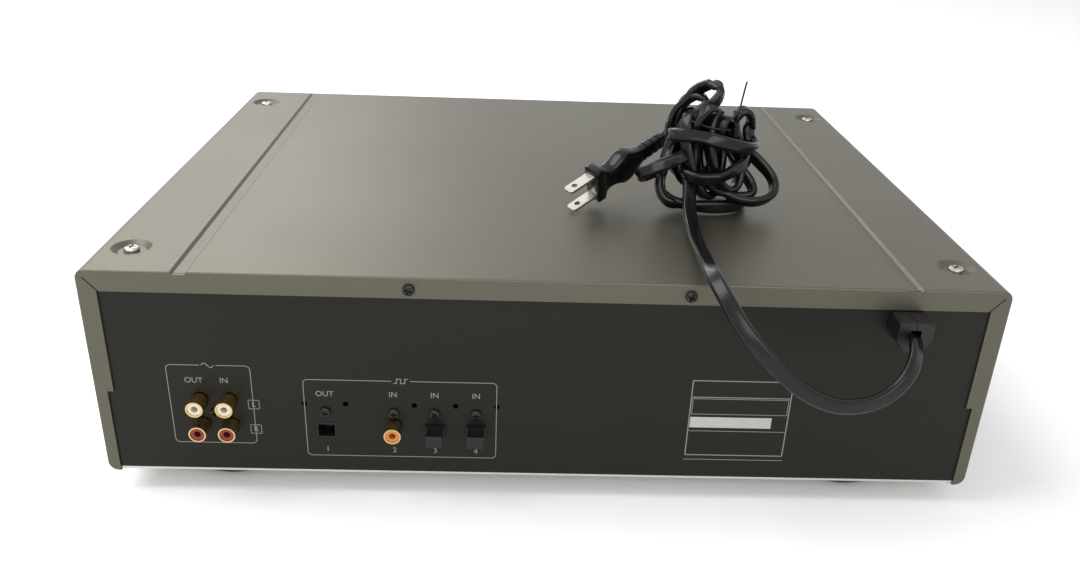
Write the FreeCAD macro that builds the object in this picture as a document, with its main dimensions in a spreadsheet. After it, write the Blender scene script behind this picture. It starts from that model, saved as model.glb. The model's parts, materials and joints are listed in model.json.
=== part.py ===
import FreeCAD, Part
import math
import os

import Sketcher
from FreeCAD import Placement, Rotation, Vector

# A slot-loading minidisc deck, 43 cm wide, in millimetres.
# +Z is up, the front faces -Y and the jacks face +Y. The origin is under the middle of
# the deck, on the surface that its feet stand on.

# Driving sizes
SIZES = {
    # case
    "case_width": 434,
    "case_depth": 333,
    "case_height": 110,
    "foot_height": 12,
    "cover_sheet": 1,
    "panel_sheet": 1,
    "chassis_sheet": 1.2,
    "side_gap": 0.3,
    "cut_margin": 1,
    # cover
    "cover_bend": 4.5,
    "cover_curl": 5,
    "cover_lip": 8,
    "rear_bend": 0.9,
    "flange_top": 10.5,
    "flange_side": 9,
    "flange_low": 6,
    "flange_step_drop": 63.8,
    "mitre_start": 3.2,
    "mitre_end": 9.8,
    "mitre_gap": 0.7,
    "mitre_slope": 1.12,
    "groove_inset": 47,
    "groove_width": 8,
    "groove_depth": 1.3,
    "dimple_inset": 16.5,
    "dimple_rear": 28,
    "dimple_front": 30,
    "dimple_radius": 9.5,
    "dimple_floor_radius": 6.5,
    "dimple_depth": 2,
    # screws
    "top_screw_head": 3.7,
    "top_screw_height": 2.3,
    "black_screw_head": 2.9,
    "black_screw_height": 1.9,
    "jack_screw_head": 2.7,
    "shank_radius": 1.4,
    "screw_hole": 1.7,
    "screw_length": 8,
    "screw_crown": 0.45,
    "rear_screw_offset": 65.5,
    "rear_screw_drop": 6,
    # chassis
    "floor_inset": 5.5,
    "rail_width": 21,
    "board_lift": 12,
    "post_radius": 3,
    "board_sheet": 1.6,
    # feet
    "foot_radius": 25,
    "foot_taper": 1.5,
    "foot_inset": 55,
    "foot_rear": 38,
    "foot_front": 45,
    "pad_radius": 21,
    "pad_height": 2,
    # analog and digital jacks
    "jack_reach": 9.5,
    "jack_radius": 4.15,
    "jack_bore": 3.45,
    "jack_clearance": 0.65,
    "insulator_gap": 0.06,
    "insulator_recess": 0.5,
    "contact_bore": 1.65,
    "contact_depth": 7,
    "rca_inset": 56.2,
    "rca_pitch": 14,
    "rca_lift": 12.1,
    "rca_block_width": 31,
    "rca_block_top": 34,
    "block_depth": 12,
    "coax_inset": 142.8,
    "coax_lift": 13,
    "coax_block_width": 14,
    "coax_block_top": 24.3,
    "digital_screw_lift": 20.7,
    "small_hole_lift": 25.2,
    "small_hole_radius": 1.4,
    "small_hole_side": 10,
    # optical sockets
    "optical_out_inset": 109.5,
    "optical_in_inset": 162.8,
    "optical_in_pitch": 20.2,
    "optical_lift": 9.9,
    "nose_width": 9.8,
    "nose_height": 8.6,
    "nose_clearance": 0.2,
    "nose_reach": 0.8,
    "port_width": 8.2,
    "port_height": 6.9,
    "port_depth": 9,
    "optical_body_width": 15,
    "optical_body_depth": 12,
    "optical_body_top": 15.4,
    "lens_radius": 1.5,
    "lens_length": 3,
    "cap_clearance": 0.2,
    "cap_insert": 7,
    "cap_flange": 1,
    "cap_grip": 7.2,
    "cap_grip_width": 8.1,
    "cap_grip_height": 6.7,
    "cap_dent_depth": 1.2,
    # strain relief
    "relief_inset": 48.5,
    "relief_drop": 18.5,
    "relief_reach": 13,
    "relief_width": 16.6,
    "relief_height": 15,
    "relief_neck": 11.6,
    "relief_tail": 7,
    "relief_corner": 2,
    "relief_foot_share": 0.5,
    "relief_shoulder_share": 0.2,
    "mouth_width": 4.8,
    "mouth_height": 7.8,
    # fascia
    "fascia_depth": 8,
    "fascia_wall": 3,
    "fascia_rim": 3,
    "fascia_drop": 2,
    "fascia_margin": 1,
    "fascia_corner": 3,
    "boss_radius": 3,
    "slot_width": 74.5,
    "slot_height": 9,
    "slot_lift": 75.8,
    "flap_sheet": 1.2,
    "flap_recess": 0.6,
    "flap_gap": 0.4,
    "flap_pin_radius": 0.6,
    "flap_pin_length": 1.6,
    "pin_clearance": 0.08,
    "window_inset": 142,
    "window_height": 34,
    "window_lift": 36,
    "window_corner": 2,
    "window_flange": 2,
    "window_flange_sheet": 0.8,
    "display_margin": 7,
    "display_height": 26,
    "front_board_inset": 8,
    "front_board_lift": 6,
    "front_board_height": 56,
    "boss_inset": 12,
    "boss_margin": 6,
    "boss_drop": 4,
    # buttons and knobs
    "button_reach": 2.5,
    "button_travel": 1.5,
    "button_gap": 0.3,
    "button_flange": 1,
    "button_corner": 0.8,
    "button_width": 18,
    "button_height": 8,
    "power_width": 22,
    "power_height": 12,
    "power_inset": 32,
    "stop_inset": 72,
    "button_pitch": 25,
    "low_row": 22,
    "high_row": 50,
    "knob_row": 36,
    "plunger_radius": 1.5,
    "knob_reach": 14,
    "knob_gap": 0.5,
    "knob_shaft": 3,
    "knob_round": 1.2,
    "track_knob_radius": 17,
    "track_knob_inset": 37,
    "record_knob_radius": 13,
    "record_knob_inset": 105,
    "phones_knob_radius": 8,
    "phones_knob_inset": 62,
    "phones_knob_reach": 10,
    "phones_inset": 32,
    "phones_bore": 3.2,
    "phones_collar": 6.6,
    "phones_neck": 5.2,
    "phones_neck_gap": 0.2,
    "phones_collar_reach": 1.2,
    "phones_body": 12,
    "phones_length": 30,
    "phones_end_wall": 3,
    "phones_notch_gap": 1,
    # transformer
    "core_inset": 62,
    "core_rear": 62,
    "core_width": 66,
    "core_stack": 36,
    "core_height": 56,
    "core_leg": 20,
    "core_yoke": 11,
    "winding_gap": 0.3,
    "winding_bulge": 9,
    "winding_corner": 4,
    "strap_sheet": 1.5,
    "strap_width": 30,
    "strap_foot": 12,
    # boards
    "main_board_inset": 17,
    "main_board_far_inset": 177,
    "main_board_depth": 128,
    "main_board_rear": 1.5,
    "power_board_inset": 12,
    "power_board_width": 118,
    "power_board_depth": 92,
    "power_board_rear": 100,
    "post_inset": 8,
    "big_can_radius": 11,
    "big_can_height": 36,
    "small_can_radius": 5,
    "small_can_height": 13,
    "chip_height": 2.4,
    "sink_left": 58,
    "sink_front": 14,
    "sink_width": 46,
    "sink_base": 4,
    "sink_depth": 22,
    "sink_height": 40,
    "sink_fin": 1.6,
    # drive
    "drive_half": 55,
    "drive_front": 14,
    "drive_depth": 98,
    "drive_sheet": 1.5,
    "drive_flange": 12,
    "drive_height": 57.8,
    "drive_post": 4,
    "drive_post_inset": 12,
    "drive_post_radius": 3.5,
    "plate_window_half": 17,
    "plate_window_front": 9,
    "plate_window_rear": 4,
    "lug_sheet": 2,
    "motor_wall_half": 9,
    "spindle_rear": 54,
    "motor_radius": 11,
    "motor_height": 8,
    "table_radius": 8,
    "table_rise": 1.5,
    "table_shaft": 2,
    "table_hub": 3,
    "table_sheet": 1.5,
    "rod_radius": 1.5,
    "rod_offset": 13,
    "rod_start": 4,
    "rod_length": 52,
    "rod_clearance": 0.05,
    "rod_drop": 6,
    "lead_offset": 21,
    "lead_radius": 2,
    "lead_end_gap": 6,
    "shaft_entry": 4,
    "sled_gap": 1,
    "sled_length": 17,
    "sled_height": 8,
    "sled_margin": 3,
    "lens_inset": 4,
    "lens_mount_radius": 3.2,
    "lens_rise": 0.6,
    "nut_inset": 5,
    "nut_length": 6,
    "nut_half": 3.5,
    "tail_half": 5,
    "tail_length": 8,
    "upright_sheet": 3,
    "upright_rise": 4.5,
    "arm_rise": 3,
    "arm_half": 6.5,
    "arm_thickness": 2.4,
    "arm_pin_radius": 0.8,
    "cheek_half": 1.6,
    "cheek_reach": 10,
    "beam_start": 8,
    "beam_overhang": 4,
    "head_half": 4,
    "head_depth": 1.2,
    "small_motor_radius": 6,
    "small_motor_length": 15,
    "small_shaft_radius": 1,
    "small_shaft_length": 5,
    "holder_width": 77,
    "holder_depth": 71,
    "holder_sheet": 0.8,
    "cartridge_gap_width": 73,
    "cartridge_gap_height": 5.6,
    "holder_rise": 5,
    "low_window_half": 24,
    "low_window_front": 14,
    "top_window_half": 12,
    "top_window_front": 6,
    "cam_gap": 1,
    "cam_travel": 12,
    "cam_half": 38,
    "cam_sheet": 2,
    "guide_pin_radius": 1.2,
    "guide_pin_length": 2.6,
    "guide_pin_place": 18,
    "slot_overrun": 2.2,
    "slot_clearance": 0.16,
    "gear_radius": 6,
    "gear_tooth": 1,
    "gear_overhang": 1,
    # cord and plug
    "cord_width": 7.4,
    "cord_thickness": 4.4,
    "blade_length": 17,
    "blade_width": 6.35,
    "blade_sheet": 1.5,
    "blade_pitch": 12.7,
    "blade_round": 1.8,
    "blade_hole": 1.6,
    "blade_hole_reach": 11.7,
    "plug_thickness": 11,
    "plug_length": 35,
    "plug_face_half": 10.8,
    "plug_plate": 5,
    "plug_edge_round": 1,
    "plug_plate_round": 1.2,
    "plug_waist_reach": 11,
    "plug_waist_half": 6.2,
    "plug_waist_round": 5,
    "plug_belly_reach": 22,
    "plug_belly_half": 9.6,
    "plug_belly_round": 5,
    "plug_back_half": 4.6,
    "plug_back_round": 2,
    "plug_relief_length": 19,
    "plug_relief_wall": 1.2,
    "plug_relief_cover": 0.8,
    "plug_groove_start": 3,
    "plug_groove_pitch": 4.2,
    "plug_groove_width": 1.6,
    "plug_groove_depth": 0.9,
    "tie_wire": 0.8,
}

# Planes and centres that follow from the driving sizes
PLACES = {
    "side": "Sizes.case_width / 2",
    "rear_plane": "(Sizes.case_depth + Sizes.fascia_depth + Sizes.knob_reach - Sizes.relief_reach) / 2",
    "front_plane": "rear_plane - Sizes.case_depth",
    "face_plane": "front_plane - Sizes.fascia_depth",
    "case_low": "Sizes.foot_height",
    "case_top": "case_low + Sizes.case_height",
    "panel_outer": "rear_plane - Sizes.cover_sheet",
    "panel_inner": "panel_outer - Sizes.panel_sheet",
    "floor_low": "case_low + Sizes.cover_sheet",
    "floor_top": "floor_low + Sizes.chassis_sheet",
    "floor_side": "side - Sizes.floor_inset",
    "rail_top": "case_top - Sizes.cover_sheet - Sizes.dimple_depth",
    "board_low": "floor_top + Sizes.board_lift",
    "board_top": "board_low + Sizes.board_sheet",
    "rca_x": "side - Sizes.rca_inset",
    "rca_low": "board_top + Sizes.rca_lift",
    "coax_x": "side - Sizes.coax_inset",
    "coax_z": "board_top + Sizes.coax_lift",
    "optical_out_x": "side - Sizes.optical_out_inset",
    "optical_in_x": "side - Sizes.optical_in_inset",
    "optical_z": "board_top + Sizes.optical_lift",
    "relief_x": "-(side - Sizes.relief_inset)",
    "relief_z": "case_top - Sizes.relief_drop",
    "relief_end": "rear_plane + Sizes.relief_reach",
    "wall_back": "face_plane + Sizes.fascia_wall",
    "core_x": "-(side - Sizes.core_inset)",
    "core_y": "rear_plane - Sizes.core_rear",
    "slot_z": "case_low + Sizes.slot_lift",
    "window_half": "side - Sizes.window_inset",
    "window_z": "case_low + Sizes.window_lift",
    "front_board_low": "case_low + Sizes.front_board_lift",
    "front_board_top": "front_board_low + Sizes.front_board_height",
    "low_row_z": "case_low + Sizes.low_row",
    "high_row_z": "case_low + Sizes.high_row",
    "knob_row_z": "case_low + Sizes.knob_row",
    "stop_x": "side - Sizes.stop_inset",
    "pause_x": "stop_x - Sizes.button_pitch",
    "play_x": "pause_x - Sizes.button_pitch",
    "power_x": "-(side - Sizes.power_inset)",
    "track_x": "side - Sizes.track_knob_inset",
    "record_knob_x": "-(side - Sizes.record_knob_inset)",
    "phones_knob_x": "-(side - Sizes.phones_knob_inset)",
    "phones_x": "-(side - Sizes.phones_inset)",
    "drive_low": "floor_top + Sizes.drive_height",
    "deck_top": "drive_low + Sizes.drive_post",
    "plate_top": "deck_top + Sizes.drive_sheet",
    "drive_y": "front_plane + Sizes.drive_front",
    "spindle_y": "front_plane + Sizes.spindle_rear",
    "rod_z": "deck_top - Sizes.rod_drop",
    "holder_low": "slot_z - Sizes.cartridge_gap_height / 2 - Sizes.holder_sheet",
    "holder_top": "slot_z + Sizes.cartridge_gap_height / 2 + Sizes.holder_sheet",
    "sled_front": "spindle_y + Sizes.motor_radius + Sizes.sled_gap",
    "sled_back": "sled_front + Sizes.sled_length",
    "lead_x": "-Sizes.lead_offset",
    "lead_z": "deck_top - Sizes.small_motor_radius",
    "cam_x": "Sizes.holder_width / 2 + Sizes.cam_gap",
    "gear_z": "holder_top + Sizes.gear_radius + Sizes.side_gap",
}

# The cord's routes, from the strain relief to the hank and from the hank to the plug
LEAD_ROUTE = (
    (-168.5, 184.0, 103.5),
    (-165.5, 201.0, 99.5),
    (-148.0, 210.0, 83.0),
    (-118.0, 215.0, 84.0),
    (-86.0, 211.0, 112.0),
    (-71.0, 190.0, 134.0),
    (-72.0, 160.0, 131.0),
    (-74.0, 130.0, 125.6),
    (-75.0, 98.0, 126.5),
    (-77.0, 76.0, 140.0),
)
TAIL_ROUTE = (
    (-64.6, 44.3, 153.6),
    (-75.0, 37.5, 158.5),
    (-82.0, 46.0, 167.7),
    (-84.0, 58.0, 172.0),
)
PLUG_FACE = (-24.8, 72.3, 135.2)
PLUG_TURN = (35.2, 20.7, -10.3)
TIE_ROUTE = (
    (-97.0, 70.0, 167.0),
    (-99.5, 75.5, 172.0),
    (-100.5, 74.0, 184.0),
    (-102.0, 75.0, 195.0),
)

# The hank: for each level above the cover, its centre and its half sizes in x and y
HANK_LEVELS = (
    (0, -97, 62, 26, 15),
    (12, -92, 63, 39, 21),
    (30, -90, 65, 28, 19),
    (52, -88, 68, 23, 17),
    (72, -86, 72, 9, 8),
)

# Where the controls sit on the front, as (x, z)
TRANSPORT_BUTTONS = {
    "eject_button": ("Places.play_x", "Places.high_row_z"),
    "record_button": ("Places.pause_x", "Places.high_row_z"),
    "play_button": ("Places.play_x", "Places.low_row_z"),
    "pause_button": ("Places.pause_x", "Places.low_row_z"),
    "stop_button": ("Places.stop_x", "Places.low_row_z"),
}
POWER_BUTTON = ("Places.power_x", "Places.high_row_z")
TRACK_KNOB = ("Places.track_x", "Places.knob_row_z")
RECORD_KNOB = ("Places.record_knob_x", "Places.knob_row_z")
PHONES_KNOB = ("Places.phones_knob_x", "Places.low_row_z")
PHONES_JACK = ("Places.phones_x", "Places.low_row_z")

# Flat chips on the main board: share of its width, offset from its front edge, half sizes
CHIPS = (
    (0.25, 40, 12, 12),
    (0.44, 62, 8, 8),
    (0.63, 36, 14, 6),
    (0.78, 58, 7, 10),
)
# Upright cans, as offsets from a board's front corner
BIG_POWER_CANS = ((24, 24), (24, 52))
SMALL_POWER_CANS = ((54, 76), (72, 76), (90, 76))
RIGHT_MAIN_CANS = ((-24, 92), (-40, 92), (-56, 92))
LEFT_MAIN_CANS = ((40, 92),)

SINK_FINS = 5
RELIEF_GROOVES = 4
# The gear's and the rack's teeth; a tooth's half widths are shares of the pitch
GEAR_TEETH = 12
RACK_HALF_TEETH = 4
ROOT_SHARE = 0.3
TIP_SHARE = 0.15
# How much of a straight run of the cord its rounded corners may take at each end
CORNER_SHARE = 0.45
TOUCHING = 1e-5
BOTH_SIDES = (-1, 1)

document = FreeCAD.newDocument("MinidiscDeck")


# Sheets and formulas

def make_sheet(name, cells, formula=False):
    sheet = document.addObject("Spreadsheet::Sheet", name)
    for row, (alias, content) in enumerate(cells.items(), start=1):
        sheet.set(f"A{row}", alias)
        sheet.set(f"B{row}", f"={content}" if formula else str(content))
        sheet.setAlias(f"B{row}", alias)
    return sheet


def value(formula):
    """The number that a formula over the two sheets gives."""
    result = places.evalExpression(str(formula))
    return float(getattr(result, "Value", result))


def bind(item, **formulas):
    for key, formula in formulas.items():
        item.setExpression(key, str(formula))


def put(item, **at):
    for axis, formula in at.items():
        item.setExpression(f"Placement.Base.{axis}", str(formula))


def around(centre, half):
    """The low and high end of a span about its centre."""
    return f"{centre} - ({half})", f"{centre} + ({half})"


def length(span):
    return f"({span[1]}) - ({span[0]})"


# Primitives and booleans

ALONG = {
    "x": Rotation(Vector(0, 1, 0), 90),
    "y": Rotation(Vector(1, 0, 0), -90),
    "z": Rotation(),
}


def box(name, x, y, z):
    item = document.addObject("Part::Box", name)
    bind(item, Length=length(x), Width=length(y), Height=length(z))
    put(item, x=x[0], y=y[0], z=z[0])
    return item


def round_place(item, axis, at, start):
    item.Placement = Placement(Vector(), ALONG[axis])
    across = [letter for letter in "xyz" if letter != axis]
    put(item, **dict(zip(across, at)), **{axis: start})


def rod(name, axis, at, span, radius):
    """A cylinder along an axis; at holds its two coordinates across that axis."""
    item = document.addObject("Part::Cylinder", name)
    bind(item, Radius=radius, Height=length(span))
    round_place(item, axis, at, span[0])
    return item


def cone(name, at, span, low_radius, top_radius):
    item = document.addObject("Part::Cone", name)
    bind(item, Radius1=low_radius, Radius2=top_radius, Height=length(span))
    round_place(item, "z", at, span[0])
    return item


def fuse(name, *items):
    item = document.addObject("Part::MultiFuse", name)
    item.Shapes = list(items)
    item.Refine = True
    return item


def cut(name, base, *tools):
    item = document.addObject("Part::Cut", name)
    item.Base = base
    item.Tool = tools[0] if len(tools) == 1 else fuse(f"{name}_tools", *tools)
    item.Refine = True
    return item


def group(name, *items):
    """Like pieces that share one node, as separate solids."""
    item = document.addObject("Part::Compound", name)
    item.Links = list(items)
    return item


# Sketched pieces

def new_sketch(body, role):
    sketch = body.newObject("Sketcher::SketchObject", f"{body.Name}_outline")
    plane = next(item for item in body.Origin.OriginFeatures if item.Role == role)
    sketch.AttachmentSupport = [(plane, "")]
    sketch.MapMode = "FlatFace"
    return sketch


def fix_point(sketch, part, end, x, y):
    """Holds one point of the sketch at a formula's place."""
    for kind, formula in (("DistanceX", x), ("DistanceY", y)):
        held = Sketcher.Constraint(kind, -1, 1, part, end, value(formula))
        sketch.setExpression(f"Constraints[{sketch.addConstraint(held)}]", str(formula))


def corner_ends(before, spot, after, radius):
    """Where a rounded corner starts and ends, and a point in the middle of its arc."""
    back = (before - spot).normalize()
    ahead = (after - spot).normalize()
    half = back.getAngle(ahead) / 2
    inward = (back + ahead).normalize()
    middle = spot + inward * (radius / math.sin(half) - radius)
    reach = radius / math.tan(half)
    return spot + back * reach, middle, spot + ahead * reach


def draw_outline(sketch, corners):
    """A closed outline; a corner with a third value is rounded to that radius."""
    spots = [Vector(value(corner[0]), value(corner[1]), 0) for corner in corners]
    count = len(corners)
    ends = []
    for index, corner in enumerate(corners):
        if len(corner) == 3:
            neighbours = spots[index - 1], spots[index], spots[(index + 1) % count]
            ends.append(corner_ends(*neighbours, value(corner[2])))
        else:
            ends.append((spots[index], None, spots[index]))
    sides = []
    for index in range(count):
        side = Part.LineSegment(ends[index][2], ends[(index + 1) % count][0])
        sides.append(sketch.addGeometry(side, False))
    for index, corner in enumerate(corners):
        before = sides[index - 1]
        after = sides[index]
        if len(corner) == 2:
            sketch.addConstraint(Sketcher.Constraint("Coincident", before, 2, after, 1))
            fix_point(sketch, after, 1, *corner)
            continue
        arc = sketch.addGeometry(Part.Arc(*ends[index]), False)
        first = 1 if sketch.getPoint(arc, 1).isEqual(ends[index][0], TOUCHING) else 2
        sketch.addConstraint(Sketcher.Constraint("Tangent", before, 2, arc, first))
        sketch.addConstraint(Sketcher.Constraint("Tangent", after, 1, arc, 3 - first))
        rounded = sketch.addConstraint(Sketcher.Constraint("Radius", arc, value(corner[2])))
        sketch.setExpression(f"Constraints[{rounded}]", str(corner[2]))
        point = sketch.addGeometry(Part.Point(spots[index]), True)
        sketch.addConstraint(Sketcher.Constraint("PointOnObject", point, 1, before))
        sketch.addConstraint(Sketcher.Constraint("PointOnObject", point, 1, after))
        fix_point(sketch, point, 1, *corner[:2])


def draw_ring(sketch, x, y, radius):
    circle = Part.Circle(Vector(value(x), value(y), 0), Vector(0, 0, 1), value(radius))
    ring = sketch.addGeometry(circle, False)
    fix_point(sketch, ring, 3, x, y)
    held = sketch.addConstraint(Sketcher.Constraint("Radius", ring, value(radius)))
    sketch.setExpression(f"Constraints[{held}]", str(radius))


def rectangle(across, up, radius=None):
    rounding = () if radius is None else (radius,)
    return [
        (across[0], up[0]) + rounding,
        (across[1], up[0]) + rounding,
        (across[1], up[1]) + rounding,
        (across[0], up[1]) + rounding,
    ]


FACING = {"x": "YZ_Plane", "y": "XZ_Plane", "z": "XY_Plane"}


def prism(name, axis, span, outline, windows=(), rings=()):
    """One outline with its openings, from span[0] to span[1] along an axis."""
    body = document.addObject("PartDesign::Body", name)
    sketch = new_sketch(body, FACING[axis])
    for edge in (outline, *windows):
        draw_outline(sketch, edge)
    for ring in rings:
        draw_ring(sketch, *ring)
    pad = body.newObject("PartDesign::Pad", f"{name}_pad")
    pad.Profile = sketch
    bind(pad, Length=length(span))
    # a pad on the XZ plane grows towards -Y
    put(body, **{axis: span[1] if axis == "y" else span[0]})
    return body


def turned(name, axis, at, profile):
    """A piece turned about an axis; each corner is (radius, place along the axis)."""
    body = document.addObject("PartDesign::Body", name)
    sketch = new_sketch(body, "XZ_Plane" if axis == "z" else "XY_Plane")
    if axis == "x":
        profile = [(corner[1], corner[0]) + tuple(corner[2:]) for corner in profile]
    draw_outline(sketch, profile)
    spin = body.newObject("PartDesign::Revolution", f"{name}_spin")
    spin.Profile = sketch
    spin.ReferenceAxis = (sketch, ["H_Axis" if axis == "x" else "V_Axis"])
    spin.Angle = 360
    across = [letter for letter in "xyz" if letter != axis]
    put(body, **dict(zip(across, at)))
    return body


def screw(name, axis, at, seat, outward, head_radius, head_height, hole_length):
    """A pan-head screw on its seat; outward is 1 where the head points along the axis."""
    head = f"{seat} + {outward} * ({head_height})"
    tip = f"{seat} - {outward} * ({hole_length})"
    crown = f"({head_height}) * Sizes.screw_crown"
    profile = [
        (0, tip),
        ("Sizes.shank_radius", tip),
        ("Sizes.shank_radius", seat),
        (head_radius, seat),
        (head_radius, head, crown),
        (0, head),
    ]
    return turned(name, axis, at, profile)


# Case

def groove_parts(side):
    centre = f"{side} * (Places.side - Sizes.groove_inset)"
    half = "Sizes.groove_width / 2"
    rib_low = "Places.case_top - Sizes.cover_sheet - Sizes.groove_depth"
    rib = box(
        "cover_rib",
        around(centre, f"{half} + Sizes.cover_sheet / 2"),
        ("Places.front_plane", "Places.panel_inner"),
        (rib_low, "Places.case_top - Sizes.cover_sheet / 2"),
    )
    wide = around(centre, half)
    narrow = around(centre, f"{half} - Sizes.groove_depth")
    low = "Places.case_top - Sizes.groove_depth"
    outline = [
        (narrow[0], low),
        (narrow[1], low),
        (wide[1], "Places.case_top"),
        (wide[0], "Places.case_top"),
    ]
    span = "Places.front_plane - Sizes.cover_sheet", "Places.rear_plane + Sizes.cover_sheet"
    return rib, prism("cover_groove", "y", span, outline)


def dimple_places():
    """The four cover screws' places."""
    for side in BOTH_SIDES:
        x = f"{side} * (Places.side - Sizes.dimple_inset)"
        yield x, "Places.rear_plane - Sizes.dimple_rear"
        yield x, "Places.front_plane + Sizes.dimple_front"


def dimple_parts(at):
    wall = "Sizes.cover_sheet / 2"
    boss = cone(
        "dimple_boss",
        at,
        ("Places.rail_top", "Places.case_top - Sizes.cover_sheet / 2"),
        f"Sizes.dimple_floor_radius + {wall}",
        f"Sizes.dimple_radius + {wall}",
    )
    hollow = cone(
        "dimple_hollow",
        at,
        ("Places.case_top - Sizes.dimple_depth", "Places.case_top"),
        "Sizes.dimple_floor_radius",
        "Sizes.dimple_radius",
    )
    hole = rod("dimple_hole", "z", at, ("Places.floor_top", "Places.case_top"), "Sizes.screw_hole")
    return boss, hollow, hole


def mitre_slot(side):
    """The thin gap where the top and side flanges meet at a rear corner."""
    near = "Sizes.mitre_start"
    far = "Sizes.mitre_end"
    gap = "Sizes.mitre_gap"
    corners = [(near, near), (f"{near} + {gap}", near), (f"{far} + {gap}", far), (far, far)]
    outline = [
        (f"{side} * (Places.side - ({inset}))", f"Places.case_top - ({drop}) * Sizes.mitre_slope")
        for inset, drop in corners
    ]
    span = "Places.panel_outer", "Places.rear_plane + Sizes.cover_sheet"
    return prism("cover_mitre", "y", span, outline)


def top_cover():
    depth = "Places.front_plane", "Places.rear_plane"
    bend = "Sizes.cover_bend"
    curl = "Sizes.cover_curl"
    low = "Places.case_low"
    top = "Places.case_top"
    sheet = "Sizes.cover_sheet"
    outline = [
        ("-Places.side", low, curl),
        ("Places.side", low, curl),
        ("Places.side", top, bend),
        ("-Places.side", top, bend),
    ]
    outer = prism("cover_outer", "y", depth, outline)
    document.recompute()
    pad = outer.Tip
    # the pad's rear face lies in the body's own y = 0 plane
    rear_edges = [
        f"Edge{number}"
        for number, edge in enumerate(pad.Shape.Edges, start=1)
        if all(abs(vertex.Y) < TOUCHING for vertex in edge.Vertexes)
    ]
    rear_bend = outer.newObject("PartDesign::Fillet", "cover_rear_bend")
    rear_bend.Base = (pad, rear_edges)
    bind(rear_bend, Radius="Sizes.rear_bend")

    inside = f"Places.side - {sheet}"
    inner_outline = [
        (f"-({inside})", f"{low} + {sheet}", f"{curl} - {sheet}"),
        (inside, f"{low} + {sheet}", f"{curl} - {sheet}"),
        (inside, f"{top} - {sheet}", f"{bend} - {sheet}"),
        (f"-({inside})", f"{top} - {sheet}", f"{bend} - {sheet}"),
    ]
    ahead = f"Places.front_plane - {sheet}"
    behind = f"Places.rear_plane + {sheet}"
    below = f"{low} - {sheet}"
    inner = prism("cover_inside", "y", (ahead, "Places.panel_outer"), inner_outline)
    lip = "Places.side - Sizes.cover_lip"
    bottom = box("cover_bottom", (f"-({lip})", lip), (ahead, behind), (below, f"{low} + 2 * {sheet}"))

    side_edge = "Places.side - Sizes.flange_side"
    low_edge = "Places.side - Sizes.flange_low"
    step = f"{top} - Sizes.flange_step_drop"
    flange_edge = f"{top} - Sizes.flange_top"
    rear_window = [
        (f"-({low_edge})", below),
        (low_edge, below),
        (low_edge, step),
        (side_edge, step),
        (side_edge, flange_edge),
        (f"-({side_edge})", flange_edge),
        (f"-({side_edge})", step),
        (f"-({low_edge})", step),
    ]
    rear = prism("cover_rear_window", "y", (f"Places.panel_outer - {sheet}", behind), rear_window)

    shell = cut("cover_shell", outer, inner, bottom, rear)
    ribs = []
    cuts = [mitre_slot(side) for side in BOTH_SIDES]
    for side in BOTH_SIDES:
        rib, groove = groove_parts(side)
        ribs.append(rib)
        cuts.append(groove)
        at = f"{side} * Sizes.rear_screw_offset", f"{top} - Sizes.rear_screw_drop"
        cuts.append(rod("cover_hole", "y", at, ("Places.panel_outer", behind), "Sizes.screw_hole"))
    for at in dimple_places():
        boss, hollow, hole = dimple_parts(at)
        ribs.append(boss)
        cuts.extend((hollow, hole))
    return cut("top_cover", fuse("cover_formed", shell, *ribs), *cuts)


def cover_top_screws():
    seat = "Places.case_top - Sizes.dimple_depth"
    sizes_of = "Sizes.top_screw_head", "Sizes.top_screw_height", "Sizes.screw_length"
    screws = [screw("top_screw", "z", at, seat, 1, *sizes_of) for at in dimple_places()]
    return group("cover_top_screws", *screws)


def cover_rear_screws():
    height = "Places.case_top - Sizes.rear_screw_drop"
    sizes_of = "Sizes.black_screw_head", "Sizes.black_screw_height", "Sizes.screw_length"
    screws = [
        screw("rear_screw", "y", (f"{side} * Sizes.rear_screw_offset", height),
              "Places.rear_plane", 1, *sizes_of)
        for side in BOTH_SIDES
    ]
    return group("cover_rear_screws", *screws)


def jack_places():
    """The five round jacks' centres: outer and inner white, outer and inner red, coaxial."""
    for row in (1, -1):
        for column in (1, -1):
            x = f"Places.rca_x + {column} * Sizes.rca_pitch / 2"
            z = f"Places.rca_low + Sizes.rca_pitch * {(row + 1) // 2}"
            yield x, z
    yield "Places.coax_x", "Places.coax_z"


def jack_screw_places():
    yield "Places.rca_x", "Places.rca_low + Sizes.rca_pitch / 2"
    high = "Places.board_top + Sizes.digital_screw_lift"
    yield "Places.optical_out_x", high
    yield "Places.coax_x", high
    for x in optical_in_places():
        yield x, high


def optical_in_places():
    for number in (0, 1):
        yield f"Places.optical_in_x - {number} * Sizes.optical_in_pitch"


def small_hole_places():
    """The small locating holes, beside and between the digital sockets."""
    z = "Places.board_top + Sizes.small_hole_lift"
    out_x = "Places.optical_out_x"
    yield f"{out_x} + Sizes.small_hole_side", z
    yield f"{out_x} - Sizes.small_hole_side", z
    for number in (0, 1, 2):
        yield f"Places.optical_in_x + Sizes.small_hole_side - {number} * Sizes.optical_in_pitch", z


def nose_window(x, clearance):
    half_width = f"Sizes.nose_width / 2 + {clearance}"
    half_height = f"Sizes.nose_height / 2 + {clearance}"
    return rectangle(around(x, half_width), around("Places.optical_z", half_height))


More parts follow.
